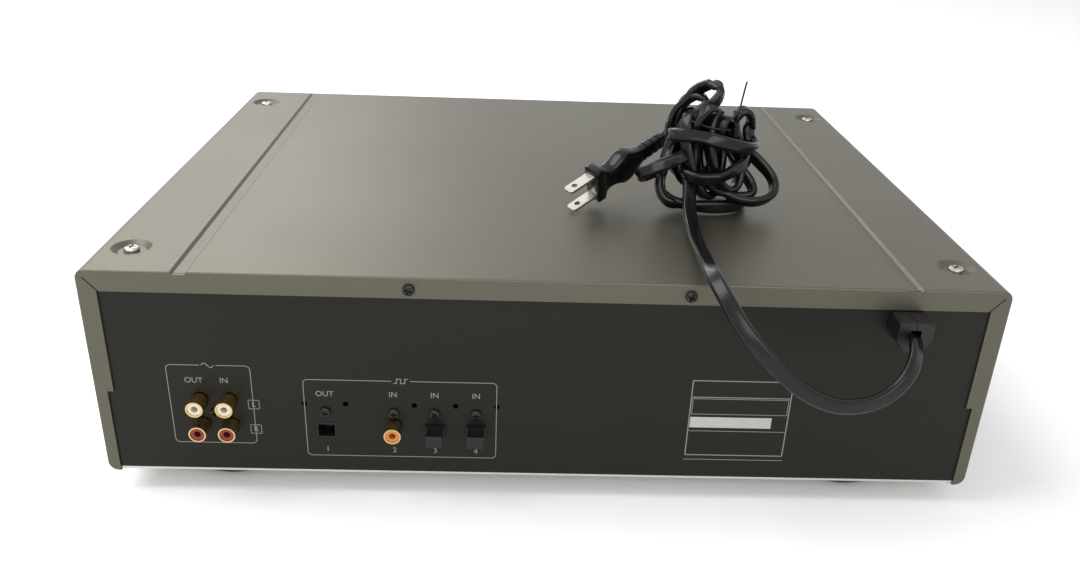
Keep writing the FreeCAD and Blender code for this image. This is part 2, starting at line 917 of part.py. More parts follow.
def rear_panel():
    corner = "Sizes.cover_curl"
    half = "Places.side - Sizes.cover_sheet - Sizes.side_gap"
    top = "Places.case_top - Sizes.cover_sheet - Sizes.side_gap"
    outline = rectangle((f"-({half})", half), ("Places.floor_top", top), corner)
    rings = [(x, z, "Sizes.jack_radius + Sizes.jack_clearance") for x, z in jack_places()]
    rings += [(x, z, "Sizes.screw_hole") for x, z in jack_screw_places()]
    rings += [(x, z, "Sizes.small_hole_radius") for x, z in small_hole_places()]
    height = "Places.case_top - Sizes.rear_screw_drop"
    rings += [(f"{side} * Sizes.rear_screw_offset", height, "Sizes.screw_hole") for side in BOTH_SIDES]
    windows = [nose_window("Places.optical_out_x", "Sizes.nose_clearance")]
    windows += [nose_window(x, "Sizes.nose_clearance") for x in optical_in_places()]
    neck = "Sizes.relief_neck / 2"
    windows.append(rectangle(around("Places.relief_x", neck), around("Places.relief_z", neck)))
    return prism("rear_panel", "y", ("Places.panel_inner", "Places.panel_outer"), outline, windows, rings)


def board_posts(x_span, y_span):
    inset = "Sizes.post_inset"
    for x in (f"{x_span[0]} + {inset}", f"{x_span[1]} - {inset}"):
        for y in (f"{y_span[0]} + {inset}", f"{y_span[1]} - {inset}"):
            heights = "Places.floor_top", "Places.board_low"
            yield rod("board_post", "z", (x, y), heights, "Sizes.post_radius")


def main_board_spans():
    far = "Places.side - Sizes.main_board_inset"
    back = "Places.panel_inner - Sizes.main_board_rear"
    near = "-(Places.side - Sizes.main_board_far_inset)"
    return (near, far), (f"{back} - Sizes.main_board_depth", back)


def power_board_spans():
    near = "-(Places.side - Sizes.power_board_inset)"
    back = "Places.rear_plane - Sizes.power_board_rear"
    return (near, f"{near} + Sizes.power_board_width"), (f"{back} - Sizes.power_board_depth", back)


def chassis_base():
    half = "Places.floor_side"
    front = "Places.front_plane"
    plate = box("chassis_floor", (f"-{half}", half), (front, "Places.panel_outer"),
                ("Places.floor_low", "Places.floor_top"))
    pieces = [plate]
    for side in BOTH_SIDES:
        edges = sorted((f"{side} * {half}", f"{side} * ({half} - Sizes.chassis_sheet)"), key=value)
        depth = front, "Places.panel_inner"
        pieces.append(box("chassis_wall", edges, depth, ("Places.floor_low", "Places.rail_top")))
        rail = sorted((f"{side} * {half}", f"{side} * ({half} - Sizes.rail_width)"), key=value)
        heights = "Places.rail_top - Sizes.chassis_sheet", "Places.rail_top"
        pieces.append(box("chassis_rail", rail, depth, heights))
    pieces.extend(board_posts(*main_board_spans()))
    pieces.extend(board_posts(*power_board_spans()))
    holes = [
        rod("rail_hole", "z", at, ("Places.board_low", "Places.case_top"), "Sizes.screw_hole")
        for at in dimple_places()
    ]
    return cut("chassis_base", fuse("chassis_formed", *pieces), *holes)


def foot_places():
    for side in BOTH_SIDES:
        x = f"{side} * (Places.side - Sizes.foot_inset)"
        yield x, "Places.rear_plane - Sizes.foot_rear"
        yield x, "Places.front_plane + Sizes.foot_front"


def foot_shells():
    profile = [
        (0, "Sizes.pad_height"),
        ("Sizes.foot_radius - Sizes.foot_taper", "Sizes.pad_height"),
        ("Sizes.foot_radius", "Sizes.pad_height + Sizes.foot_taper"),
        ("Sizes.foot_radius", "Places.floor_low"),
        (0, "Places.floor_low"),
    ]
    return group("foot_shells", *(turned("foot", "z", at, profile) for at in foot_places()))


def foot_pads():
    pads = [rod("foot_pad", "z", at, (0, "Sizes.pad_height"), "Sizes.pad_radius") for at in foot_places()]
    return group("foot_pads", *pads)


# Jacks on the rear panel

def socket_block(name, x, half_width, top, screw_z, rear_holes):
    """A jack housing that stands on the main board against the rear panel."""
    block = box(name + "_blank", around(x, half_width),
                ("Places.panel_inner - Sizes.block_depth", "Places.panel_inner"),
                ("Places.board_top", top))
    depth = "Places.panel_inner - Sizes.screw_length", "Places.panel_inner"
    holes = [rod(name + "_screw_hole", "y", (x, screw_z), depth, "Sizes.screw_hole")]
    holes += [rod(name + "_contact", "y", at, depth, "Sizes.contact_bore") for at in rear_holes]
    return cut(name, block, *holes)


def rca_blocks():
    jacks = list(jack_places())
    main_screw, _, coax_screw, *_ = jack_screw_places()
    analog = socket_block("analog_block", "Places.rca_x", "Sizes.rca_block_width / 2",
                          "Places.board_top + Sizes.rca_block_top", main_screw[1], jacks[:4])
    coaxial = socket_block("coax_block", "Places.coax_x", "Sizes.coax_block_width / 2",
                           "Places.board_top + Sizes.coax_block_top", coax_screw[1], jacks[4:])
    return group("rca_blocks", analog, coaxial)


def rca_shells():
    start = "Places.panel_inner"
    end = "Places.panel_outer + Sizes.jack_reach"
    profile = [
        ("Sizes.jack_bore", start),
        ("Sizes.jack_radius", start),
        ("Sizes.jack_radius", end),
        ("Sizes.jack_bore", end),
    ]
    return group("rca_shells", *(turned("jack_shell", "y", at, profile) for at in jack_places()))


def insulators(name, spots):
    """The coloured plastic inside each shell, with the bore for the plug's pin."""
    radius = "Sizes.jack_bore - Sizes.insulator_gap"
    end = "Places.panel_outer + Sizes.jack_reach - Sizes.insulator_recess"
    profile = [
        (0, "Places.panel_inner"),
        (radius, "Places.panel_inner"),
        (radius, end),
        ("Sizes.contact_bore", end),
        ("Sizes.contact_bore", f"{end} - Sizes.contact_depth"),
        (0, f"{end} - Sizes.contact_depth"),
    ]
    return group(name, *(turned(f"{name}_core", "y", at, profile) for at in spots))


def optical_housing(name, x, nose_end):
    """A socket for an optical plug: a body on the main board and a nose through the panel."""
    z = "Places.optical_z"
    body = box(name + "_body", around(x, "Sizes.optical_body_width / 2"),
               ("Places.panel_inner - Sizes.optical_body_depth", "Places.panel_inner"),
               ("Places.board_top", "Places.board_top + Sizes.optical_body_top"))
    nose = box(name + "_nose", around(x, "Sizes.nose_width / 2"), ("Places.panel_inner", nose_end),
               around(z, "Sizes.nose_height / 2"))
    floor_y = f"{nose_end} - Sizes.port_depth"
    port = box(name + "_port", around(x, "Sizes.port_width / 2"), (floor_y, nose_end),
               around(z, "Sizes.port_height / 2"))
    housing = cut(name + "_shell", fuse(name + "_whole", body, nose), port)
    return housing, floor_y


def optical_out_socket():
    x = "Places.optical_out_x"
    housing, floor_y = optical_housing("optical_out", x, "Places.panel_outer")
    lens = rod("optical_out_lens", "y", (x, "Places.optical_z"),
               (floor_y, f"{floor_y} + Sizes.lens_length"), "Sizes.lens_radius")
    return fuse("optical_out_socket", housing, lens)


def optical_in_sockets():
    end = "Places.panel_outer + Sizes.nose_reach"
    housings = [optical_housing("optical_in", x, end)[0] for x in optical_in_places()]
    return group("optical_in_sockets", *housings)


def optical_cap(name, x):
    """A dust cap: a plug in the port, a thin flange on the nose and a grip with a dent on top."""
    z = "Places.optical_z"
    seat = "Places.panel_outer + Sizes.nose_reach"
    gap = "Sizes.cap_clearance"
    insert = box(name + "_insert", around(x, f"Sizes.port_width / 2 - {gap}"),
                 (f"{seat} - Sizes.cap_insert", seat), around(z, f"Sizes.port_height / 2 - {gap}"))
    flange = box(name + "_flange", around(x, f"Sizes.nose_width / 2 - {gap}"),
                 (seat, f"{seat} + Sizes.cap_flange"), around(z, f"Sizes.nose_height / 2 - {gap}"))
    grip_start = f"{seat} + Sizes.cap_flange"
    grip_end = f"{grip_start} + Sizes.cap_grip"
    grip = box(name + "_grip", around(x, "Sizes.cap_grip_width / 2"), (grip_start, grip_end),
               around(z, "Sizes.cap_grip_height / 2"))
    top = f"{z} + Sizes.cap_grip_height / 2"
    dent = box(name + "_dent", around(x, "Sizes.cap_grip_width / 2 - Sizes.cap_flange"),
               (f"{grip_start} + Sizes.cap_flange", f"{grip_end} - Sizes.cap_flange"),
               (f"{top} - Sizes.cap_dent_depth", f"{top} + Sizes.cap_flange"))
    return cut(name, fuse(name + "_whole", insert, flange, grip), dent)


def jack_screws():
    sizes_of = "Sizes.jack_screw_head", "Sizes.black_screw_height", "Sizes.screw_length - Sizes.panel_sheet"
    screws = [
        screw("jack_screw", "y", at, "Places.panel_outer", 1, *sizes_of)
        for at in jack_screw_places()
    ]
    return group("jack_screws", *screws)


def strain_relief():
    """Two halves that clamp the cord in the rear panel, split by an upright plane."""
    x = "Places.relief_x"
    z = "Places.relief_z"
    half_width = "Sizes.relief_width / 2"
    half_height = "Sizes.relief_height / 2"
    low_edge = around(x, f"{half_width} * Sizes.relief_foot_share")
    edges = around(x, half_width)
    low, high = around(z, half_height)
    shoulder = f"{z} - {half_height} * Sizes.relief_shoulder_share"
    corners = (low_edge[0], low), (low_edge[1], low), (edges[1], shoulder), (edges[1], high)
    corners += (edges[0], high), (edges[0], shoulder)
    outline = [(*corner, "Sizes.relief_corner") for corner in corners]
    head = prism("relief_head", "y", ("Places.panel_outer", "Places.relief_end"), outline)
    neck_half = "Sizes.relief_neck / 2 - Sizes.side_gap"
    neck = box("relief_neck", around(x, neck_half),
               ("Places.panel_inner - Sizes.relief_tail", "Places.panel_outer"), around(z, neck_half))
    catch = box("relief_catch", around(x, neck_half),
                ("Places.panel_inner - Sizes.relief_tail", "Places.panel_inner"),
                around(z, f"{neck_half} + 2 * Sizes.side_gap"))
    behind = "Places.panel_inner - Sizes.relief_tail - Sizes.cut_margin"
    beyond = "Places.relief_end + Sizes.cut_margin"
    mouth = box("relief_mouth", around(x, "Sizes.mouth_width / 2"), (behind, beyond),
                around(z, "Sizes.mouth_height / 2"))
    split = box("relief_split", around(x, "Sizes.side_gap / 2"), (behind, beyond),
                around(z, "Sizes.relief_height"))
    return cut("strain_relief", fuse("relief_whole", head, neck, catch), mouth, split)


# Front

def front_fascia():
    half = "Places.side - Sizes.fascia_margin"
    heights = "Places.case_low", "Places.case_top - Sizes.fascia_drop"
    outline = rectangle((f"-({half})", half), heights, "Sizes.fascia_corner")
    slot = rectangle(around(0, "Sizes.slot_width / 2"), around("Places.slot_z", "Sizes.slot_height / 2"))
    window = rectangle(around(0, "Places.window_half"),
                       around("Places.window_z", "Sizes.window_height / 2"), "Sizes.window_corner")
    windows = [slot, window]
    buttons = [(*at, "Sizes.button_width", "Sizes.button_height") for at in TRANSPORT_BUTTONS.values()]
    buttons.append((*POWER_BUTTON, "Sizes.power_width", "Sizes.power_height"))
    gap = "Sizes.button_gap"
    for x, z, width, height in buttons:
        windows.append(rectangle(around(x, f"{width} / 2 + {gap}"), around(z, f"{height} / 2 + {gap}"),
                                 f"Sizes.button_corner + {gap}"))
    rings = [(*at, "Sizes.knob_shaft + Sizes.button_gap") for at in (TRACK_KNOB, RECORD_KNOB, PHONES_KNOB)]
    rings.append((*PHONES_JACK, "Sizes.phones_neck + Sizes.phones_neck_gap"))
    wall = prism("fascia_wall", "y", ("Places.face_plane", "Places.wall_back"), outline, windows, rings)
    rim = "Sizes.fascia_rim"
    hollow = rectangle((f"-({half} - {rim})", f"{half} - {rim}"),
                       (f"{heights[0]} + {rim}", f"{heights[1]} - {rim}"))
    frame = prism("fascia_frame", "y", ("Places.wall_back", "Places.front_plane"), outline, [hollow])
    depth = "Places.wall_back", "Places.front_plane"
    bosses = []
    for side in BOTH_SIDES:
        for inset in ("Places.side - Sizes.boss_inset", "Places.window_half + Sizes.boss_margin"):
            for z in ("Places.front_board_low + Sizes.boss_drop", "Places.front_board_top - Sizes.boss_drop"):
                at = f"{side} * ({inset})", z
                bosses.append(rod("fascia_boss", "y", at, depth, "Sizes.boss_radius"))
    axis_z = "Places.slot_z + Sizes.slot_height / 2 - Sizes.flap_sheet"
    axis_y = "Places.face_plane + Sizes.flap_recess + Sizes.flap_sheet / 2"
    reach = "Sizes.slot_width / 2 + Sizes.flap_pin_length + Sizes.flap_gap"
    pivot = rod("flap_pivot_bore", "x", (axis_y, axis_z), (f"-({reach})", reach),
                "Sizes.flap_pin_radius + Sizes.pin_clearance")
    return cut("front_fascia", fuse("fascia_whole", wall, frame, *bosses), pivot)


def slot_flap():
    axis_z = "Places.slot_z + Sizes.slot_height / 2 - Sizes.flap_sheet"
    low = "Places.slot_z - Sizes.slot_height / 2 + Sizes.flap_gap"
    front = "Places.face_plane + Sizes.flap_recess"
    half = "Sizes.slot_width / 2 - Sizes.flap_gap"
    leaf = box("flap_leaf", (f"-({half})", half), (front, f"{front} + Sizes.flap_sheet"),
               (low, f"{axis_z} + Sizes.flap_pin_radius"))
    reach = "Sizes.slot_width / 2 + Sizes.flap_pin_length"
    pins = rod("flap_pins", "x", (f"{front} + Sizes.flap_sheet / 2", axis_z), (f"-({reach})", reach),
               "Sizes.flap_pin_radius")
    return fuse("slot_flap", leaf, pins)


def display_window():
    half_width = "Places.window_half"
    half_height = "Sizes.window_height / 2"
    gap = "Sizes.pin_clearance"
    lens = prism("window_lens", "y", ("Places.face_plane", "Places.wall_back"),
                 rectangle(around(0, f"{half_width} - {gap}"),
                           around("Places.window_z", f"{half_height} - {gap}"), "Sizes.window_corner"))
    edge = "Sizes.window_flange"
    flange = box("window_flange", around(0, f"{half_width} + {edge}"),
                 ("Places.wall_back", "Places.wall_back + Sizes.window_flange_sheet"),
                 around("Places.window_z", f"{half_height} + {edge}"))
    return fuse("display_window", lens, flange)


def display_module():
    return box("display_module", around(0, "Places.window_half - Sizes.display_margin"),
               ("Places.wall_back + Sizes.window_flange_sheet", "Places.front_plane"),
               around("Places.window_z", "Sizes.display_height / 2"))


def front_board():
    """The board behind the fascia, and a small one over the headphone jack for the power key."""
    half = "Places.side - Sizes.front_board_inset"
    top = "Places.front_board_top"
    depth = "Places.front_plane", "Places.front_plane + Sizes.board_sheet"
    gap = "Sizes.phones_body / 2 + Sizes.phones_notch_gap"
    near = f"{PHONES_JACK[0]} + {gap}"
    main = box("front_main_board", (near, half), depth, ("Places.front_board_low", top))
    power = box("front_power_board", (f"-({half})", f"{near} - Sizes.side_gap"), depth,
                (f"{PHONES_JACK[1]} + {gap}", top))
    return group("front_board", main, power)


def button(name, at, width, height):
    """A key through the fascia, with a flange behind the wall and a plunger to its switch."""
    x, z = at
    tip = "Places.face_plane - Sizes.button_reach"
    seat = "Places.wall_back + Sizes.pin_clearance"
    outline = rectangle(around(x, f"{width} / 2"), around(z, f"{height} / 2"), "Sizes.button_corner")
    key = prism(name + "_key", "y", (tip, seat), outline)
    flange = box(name + "_flange", around(x, f"{width} / 2 + Sizes.button_flange"),
                 (seat, f"{seat} + Sizes.button_flange"), around(z, f"{height} / 2 + Sizes.button_flange"))
    end = "Places.front_plane - Sizes.button_travel - Sizes.pin_clearance"
    plunger = rod(name + "_plunger", "y", at, (f"{seat} + Sizes.button_flange", end), "Sizes.plunger_radius")
    return fuse(name, key, flange, plunger)


def knob(name, at, radius, reach):
    """A round knob whose shaft runs through the fascia to the front board."""
    tip = f"Places.face_plane - {reach}"
    back = "Places.face_plane - Sizes.knob_gap"
    end = "Places.front_plane - Sizes.pin_clearance"
    profile = [
        (0, tip),
        (radius, tip, "Sizes.knob_round"),
        (radius, back),
        ("Sizes.knob_shaft", back),
        ("Sizes.knob_shaft", end),
        (0, end),
    ]
    return turned(name, "y", at, profile)


def phones_jack():
    """A 6.3 mm headphone jack: a collar on the fascia and a body behind it."""
    x, z = PHONES_JACK
    collar = rod("phones_collar", "y", PHONES_JACK,
                 ("Places.face_plane - Sizes.phones_collar_reach", "Places.face_plane"), "Sizes.phones_collar")
    neck = rod("phones_neck", "y", PHONES_JACK, ("Places.face_plane", "Places.wall_back"),
               "Sizes.phones_neck")
    half = "Sizes.phones_body / 2"
    end = "Places.wall_back + Sizes.phones_length"
    body = box("phones_housing", around(x, half), ("Places.wall_back", end), around(z, half))
    bore = rod("phones_bore_cut", "y", PHONES_JACK,
               ("Places.face_plane - Sizes.phones_collar_reach - Sizes.cut_margin",
                f"{end} - Sizes.phones_end_wall"), "Sizes.phones_bore")
    return cut("phones_jack", fuse("phones_whole", collar, neck, body), bore)


# Power supply and boards

def core_spans():
    x = around("Places.core_x", "Sizes.core_width / 2")
    y = around("Places.core_y", "Sizes.core_stack / 2")
    return x, y, ("Places.floor_top", "Places.floor_top + Sizes.core_height")


def transformer_core():
    x, y, z = core_spans()
    inner = "Sizes.core_leg / 2"
    outer = "Sizes.core_width / 2 - Sizes.core_yoke"
    heights = f"{z[0]} + Sizes.core_yoke", f"{z[1]} - Sizes.core_yoke"
    windows = [
        rectangle((f"Places.core_x + {inner}", f"Places.core_x + {outer}"), heights),
        rectangle((f"Places.core_x - ({outer})", f"Places.core_x - {inner}"), heights),
    ]
    return prism("transformer_core", "y", y, rectangle(x, z), windows)


def transformer_windings():
    gap = "Sizes.winding_gap"
    z = core_spans()[2]
    heights = f"{z[0]} + Sizes.core_yoke + {gap}", f"{z[1]} - Sizes.core_yoke - {gap}"
    outer_x = around("Places.core_x", f"Sizes.core_width / 2 - Sizes.core_yoke - {gap}")
    outer_y = around("Places.core_y", "Sizes.core_stack / 2 + Sizes.winding_bulge")
    inner_x = around("Places.core_x", f"Sizes.core_leg / 2 + {gap}")
    inner_y = around("Places.core_y", f"Sizes.core_stack / 2 + {gap}")
    outline = rectangle(outer_x, outer_y, "Sizes.winding_corner")
    return prism("transformer_windings", "z", heights, outline, [rectangle(inner_x, inner_y)])


def transformer_bracket():
    x, _, z = core_spans()
    sheet = "Sizes.strap_sheet"
    foot = "Sizes.strap_foot"
    top = f"{z[1]} + {sheet}"
    outline = [
        (f"{x[0]} - {sheet} - {foot}", z[0]),
        (x[0], z[0]),
        (x[0], z[1]),
        (x[1], z[1]),
        (x[1], z[0]),
        (f"{x[1]} + {sheet} + {foot}", z[0]),
        (f"{x[1]} + {sheet} + {foot}", f"{z[0]} + {sheet}"),
        (f"{x[1]} + {sheet}", f"{z[0]} + {sheet}"),
        (f"{x[1]} + {sheet}", top),
        (f"{x[0]} - {sheet}", top),
        (f"{x[0]} - {sheet}", f"{z[0]} + {sheet}"),
        (f"{x[0]} - {sheet} - {foot}", f"{z[0]} + {sheet}"),
    ]
    return prism("transformer_bracket", "y", around("Places.core_y", "Sizes.strap_width / 2"), outline)


def circuit_board(name, spans):
    return box(name, *spans, ("Places.board_low", "Places.board_top"))


def board_chips():
    x_span, y_span = main_board_spans()
    heights = "Places.board_top", "Places.board_top + Sizes.chip_height"
    made = []
    for share, back, half_x, half_y in CHIPS:
        x = around(f"{x_span[0]} + {share} * ({length(x_span)})", half_x)
        y = around(f"{y_span[0]} + {back}", half_y)
        made.append(box("chip", x, y, heights))
    return group("board_chips", *made)


def capacitors():
    big = "Sizes.big_can_radius", "Sizes.big_can_height"
    small = "Sizes.small_can_radius", "Sizes.small_can_height"
    x_power, y_power = power_board_spans()
    x_main, y_main = main_board_spans()
    rows = [
        (BIG_POWER_CANS, x_power[0], y_power[0], big),
        (SMALL_POWER_CANS, x_power[0], y_power[0], small),
        (RIGHT_MAIN_CANS, x_main[1], y_main[0], small),
        (LEFT_MAIN_CANS, x_main[0], y_main[0], small),
    ]
    made = []
    for offsets, x_edge, y_edge, (radius, height) in rows:
        heights = "Places.board_top", f"Places.board_top + {height}"
        for right, back in offsets:
            made.append(rod("can", "z", (f"{x_edge} + {right}", f"{y_edge} + {back}"), heights, radius))
    return group("capacitors", *made)


def heat_sink():
    """An upright extrusion with fins, on the power board."""
    x_span, y_span = power_board_spans()
    left = f"{x_span[0]} + Sizes.sink_left"
    front = f"{y_span[0]} + Sizes.sink_front"
    back = f"{front} + Sizes.sink_base"
    heights = "Places.board_top", "Places.board_top + Sizes.sink_height"
    plate = box("sink_plate", (left, f"{left} + Sizes.sink_width"), (front, back), heights)
    fins = []
    for number in range(SINK_FINS):
        start = f"{left} + {number} * (Sizes.sink_width - Sizes.sink_fin) / {SINK_FINS - 1}"
        fins.append(box("sink_fin", (start, f"{start} + Sizes.sink_fin"),
                        (back, f"{front} + Sizes.sink_depth"), heights))
    return fuse("heat_sink", plate, *fins)


# Drive mechanism

def drive_bracket():
    half = "Sizes.drive_half"
    sheet = "Sizes.drive_sheet"
    y = "Places.drive_y", "Places.drive_y + Sizes.drive_depth"
    low = "Places.floor_top"
    top = "Places.drive_low"
    pieces = []
    for side in BOTH_SIDES:
        edges = [
            ("drive_wall", f"{half} - {sheet}", half, low, top),
            ("drive_foot", half, f"{half} + Sizes.drive_flange", low, f"{low} + {sheet}"),
            ("drive_seat", f"{half} - Sizes.drive_flange", f"{half} - {sheet}", f"{top} - {sheet}", top),
        ]
        for name, near, far, bottom, upper in edges:
            x = sorted((f"{side} * ({near})", f"{side} * ({far})"), key=value)
            pieces.append(box(name, x, y, (bottom, upper)))
    tie = box("drive_tie", (f"-({half} - {sheet})", f"{half} - {sheet}"),
              (f"{y[1]} - {sheet}", y[1]), (f"{top} / 2", f"{top} - Sizes.drive_flange"))
    return fuse("drive_bracket", *pieces, tie)


def guide_rod_span():
    """The guide rods start behind the spindle motor and end short of the bracket's tie."""
    start = "Places.spindle_y + Sizes.rod_start"
    return start, f"{start} + Sizes.rod_length"


def drive_plate():
    half = "Sizes.drive_half"
    sheet = "Sizes.drive_sheet"
    y = "Places.drive_y", "Places.drive_y + Sizes.drive_depth"
    window = rectangle(around(0, "Sizes.plate_window_half"),
                       ("Places.spindle_y + Sizes.plate_window_front", f"{y[1]} - Sizes.plate_window_rear"))
    plate = prism("plate_sheet", "z", ("Places.deck_top", "Places.plate_top"),
                  rectangle((f"-{half}", half), y), [window], [(0, "Places.spindle_y", "Sizes.motor_radius / 2")])
    pieces = [plate]
    seat = f"{half} - (Sizes.drive_flange + {sheet}) / 2"
    inset = "Sizes.drive_post_inset"
    lug = "Sizes.lug_sheet"
    for side in BOTH_SIDES:
        for back in (f"{y[0]} + {inset}", f"{y[1]} - {inset}"):
            heights = "Places.drive_low", "Places.deck_top"
            pieces.append(rod("plate_post", "z", (f"{side} * ({seat})", back), heights, "Sizes.drive_post_radius"))
        for end, outward in zip(guide_rod_span(), BOTH_SIDES):
            depth = sorted((end, f"{end} + {outward} * {lug}"), key=value)
            x = around(f"{side} * Sizes.rod_offset", lug)
            pieces.append(box("rod_lug", x, depth, (f"Places.rod_z - {lug}", "Places.deck_top")))
    wall_x = "Places.cam_x + Sizes.small_shaft_length"
    wall = box("motor_wall", (f"{wall_x} - {sheet}", wall_x), around("Places.spindle_y", "Sizes.motor_wall_half"),
               ("Places.plate_top", "Places.gear_z + Sizes.gear_radius + Sizes.lug_sheet"))
    shaft_hole = rod("wall_hole", "x", ("Places.spindle_y", "Places.gear_z"),
                     (f"{wall_x} - {sheet}", wall_x), "Sizes.small_shaft_radius + Sizes.side_gap")
    return cut("drive_plate", fuse("plate_whole", *pieces, wall), shaft_hole)


def guide_rods():
    rods = [
        rod("guide_rod", "y", (f"{side} * Sizes.rod_offset", "Places.rod_z"), guide_rod_span(), "Sizes.rod_radius")
        for side in BOTH_SIDES
    ]
    return group("guide_rods", *rods)


def spindle_motor():
    heights = "Places.deck_top - Sizes.motor_height", "Places.deck_top"
    return rod("spindle_motor", "z", (0, "Places.spindle_y"), heights, "Sizes.motor_radius")


def turntable():
    low = "Places.deck_top + Sizes.pin_clearance"
    disc = "Places.plate_top + Sizes.table_rise"
    sheet = "Sizes.table_sheet"
    profile = [
        (0, low),
        ("Sizes.table_shaft", low),
        ("Sizes.table_shaft", disc),
        ("Sizes.table_radius", disc),
        ("Sizes.table_radius", f"{disc} + {sheet}"),
        ("Sizes.table_hub", f"{disc} + {sheet}"),
        ("Sizes.table_shaft", f"{disc} + 2 * {sheet}"),
        (0, f"{disc} + 2 * {sheet}"),
    ]
    return turned("turntable", "z", (0, "Places.spindle_y"), profile)


def small_motor(name, axis, at, shaft_end, direction):
    """A motor whose shaft ends at shaft_end and points along the axis, or against it."""
    body_start = f"{shaft_end} - {direction} * Sizes.small_shaft_length"
    body_end = f"{body_start} - {direction} * Sizes.small_motor_length"
    shaft = sorted((body_start, shaft_end), key=value)
    body = sorted((body_start, body_end), key=value)
    return fuse(name, rod(name + "_shaft", axis, at, shaft, "Sizes.small_shaft_radius"),
                rod(name + "_body", axis, at, body, "Sizes.small_motor_radius"))


def lead_screw_span():
    start = guide_rod_span()[0]
    return start, f"{start} + Sizes.rod_length - Sizes.lead_end_gap"


def drive_motors():
    """The sled motor under the drive plate and the loading motor on its wall."""
    shaft_end = f"{lead_screw_span()[1]} - Sizes.shaft_entry"
    sled = small_motor("sled_motor", "y", ("Places.lead_x", "Places.lead_z"), shaft_end, -1)
    loading = small_motor("loading_motor", "x", ("Places.spindle_y", "Places.gear_z"), "Places.cam_x", -1)
    return group("drive_motors", sled, loading)


def lead_screw():
    start, end = lead_screw_span()
    at = "Places.lead_x", "Places.lead_z"
    whole = rod("screw_whole", "y", at, (start, f"{end} - Sizes.side_gap"), "Sizes.lead_radius")
    bore = rod("screw_bore", "y", at, (f"{end} - Sizes.shaft_entry - Sizes.slot_clearance", end),
               "Sizes.small_shaft_radius + Sizes.rod_clearance")
    return cut("lead_screw", whole, bore)


def pickup_sled():
    """The sled on its rods, with the lens, the nut on the lead screw and the arm's upright."""
    front = "Places.sled_front"
    back = "Places.sled_back"
    heights = around("Places.rod_z", "Sizes.sled_height / 2")
    half = "Sizes.rod_offset + Sizes.sled_margin"
    block = box("sled_block", (f"-({half})", half), (front, back), heights)
    lens = rod("sled_lens", "z", (0, f"{front} + Sizes.lens_inset"),
               (heights[1], "Places.plate_top + Sizes.lens_rise"), "Sizes.lens_mount_radius")
    nut_front = f"{front} + Sizes.nut_inset"
    nut = box("sled_nut", ("Places.lead_x - Sizes.nut_half", f"-({half})"),
              (nut_front, f"{nut_front} + Sizes.nut_length"), around("Places.lead_z", "Sizes.nut_half"))
    across = around(0, "Sizes.tail_half")
    end = f"{back} + Sizes.tail_length"
    tail = box("sled_tail", across, (back, end), heights)
    upright = box("sled_upright", across, (f"{end} - Sizes.upright_sheet", end),
                  (heights[1], "Places.holder_top + Sizes.upright_rise"))
    slack = "Sizes.rod_clearance"
    holes = [
        rod("sled_bore", "y", (f"{side} * Sizes.rod_offset", "Places.rod_z"), (front, back),
            f"Sizes.rod_radius + {slack}")
        for side in BOTH_SIDES
    ]
    holes.append(rod("nut_bore", "y", ("Places.lead_x", "Places.lead_z"), (front, back),
                     f"Sizes.lead_radius + {slack}"))
    holes.append(rod("upright_bore", "x", arm_hinge(), around(0, "Sizes.tail_half + Sizes.cut_margin"),
                     f"Sizes.arm_pin_radius + {slack}"))
    return cut("pickup_sled", fuse("sled_whole", block, lens, nut, tail, upright), *holes)


def arm_hinge():
    """The head arm's hinge axis, as (y, z)."""
    y = "Places.sled_back + Sizes.tail_length - Sizes.upright_sheet / 2"
    return y, "Places.holder_top + Sizes.arm_rise"


def head_arm():
    """The magnetic head's arm: a fork on the upright, reaching forward over the lens."""
    y, z = arm_hinge()
    heights = around(z, "Sizes.arm_thickness / 2")
    lens_y = "Places.sled_front + Sizes.lens_inset"
    beam = box("arm_beam", around(0, "Sizes.arm_half"),
               (f"{lens_y} - Sizes.beam_overhang", f"{y} - Sizes.beam_start"), heights)
    head = box("arm_head", around(0, "Sizes.head_half"), around(lens_y, "Sizes.head_half"),
               (f"{heights[0]} - Sizes.head_depth", heights[0]))
    pin = rod("arm_pin", "x", (y, z), around(0, "Sizes.arm_half"), "Sizes.arm_pin_radius")
    pieces = [beam, head, pin]
    for side in BOTH_SIDES:
        inner = f"{side} * (Sizes.tail_half + Sizes.side_gap)"
        across = sorted((inner, f"{side} * Sizes.arm_half"), key=value)
        depth = f"{y} - Sizes.cheek_reach", f"{y} + Sizes.cheek_half"
        pieces.append(box("arm_cheek", across, depth, heights))
    return fuse("head_arm", *pieces)


def holder_span():
    return around("Places.spindle_y", "Sizes.holder_depth / 2")


def guide_pin_places():
    """The holder's guide pins and their slots, along y."""
    for side in BOTH_SIDES:
        yield f"Places.spindle_y + {side} * Sizes.guide_pin_place"


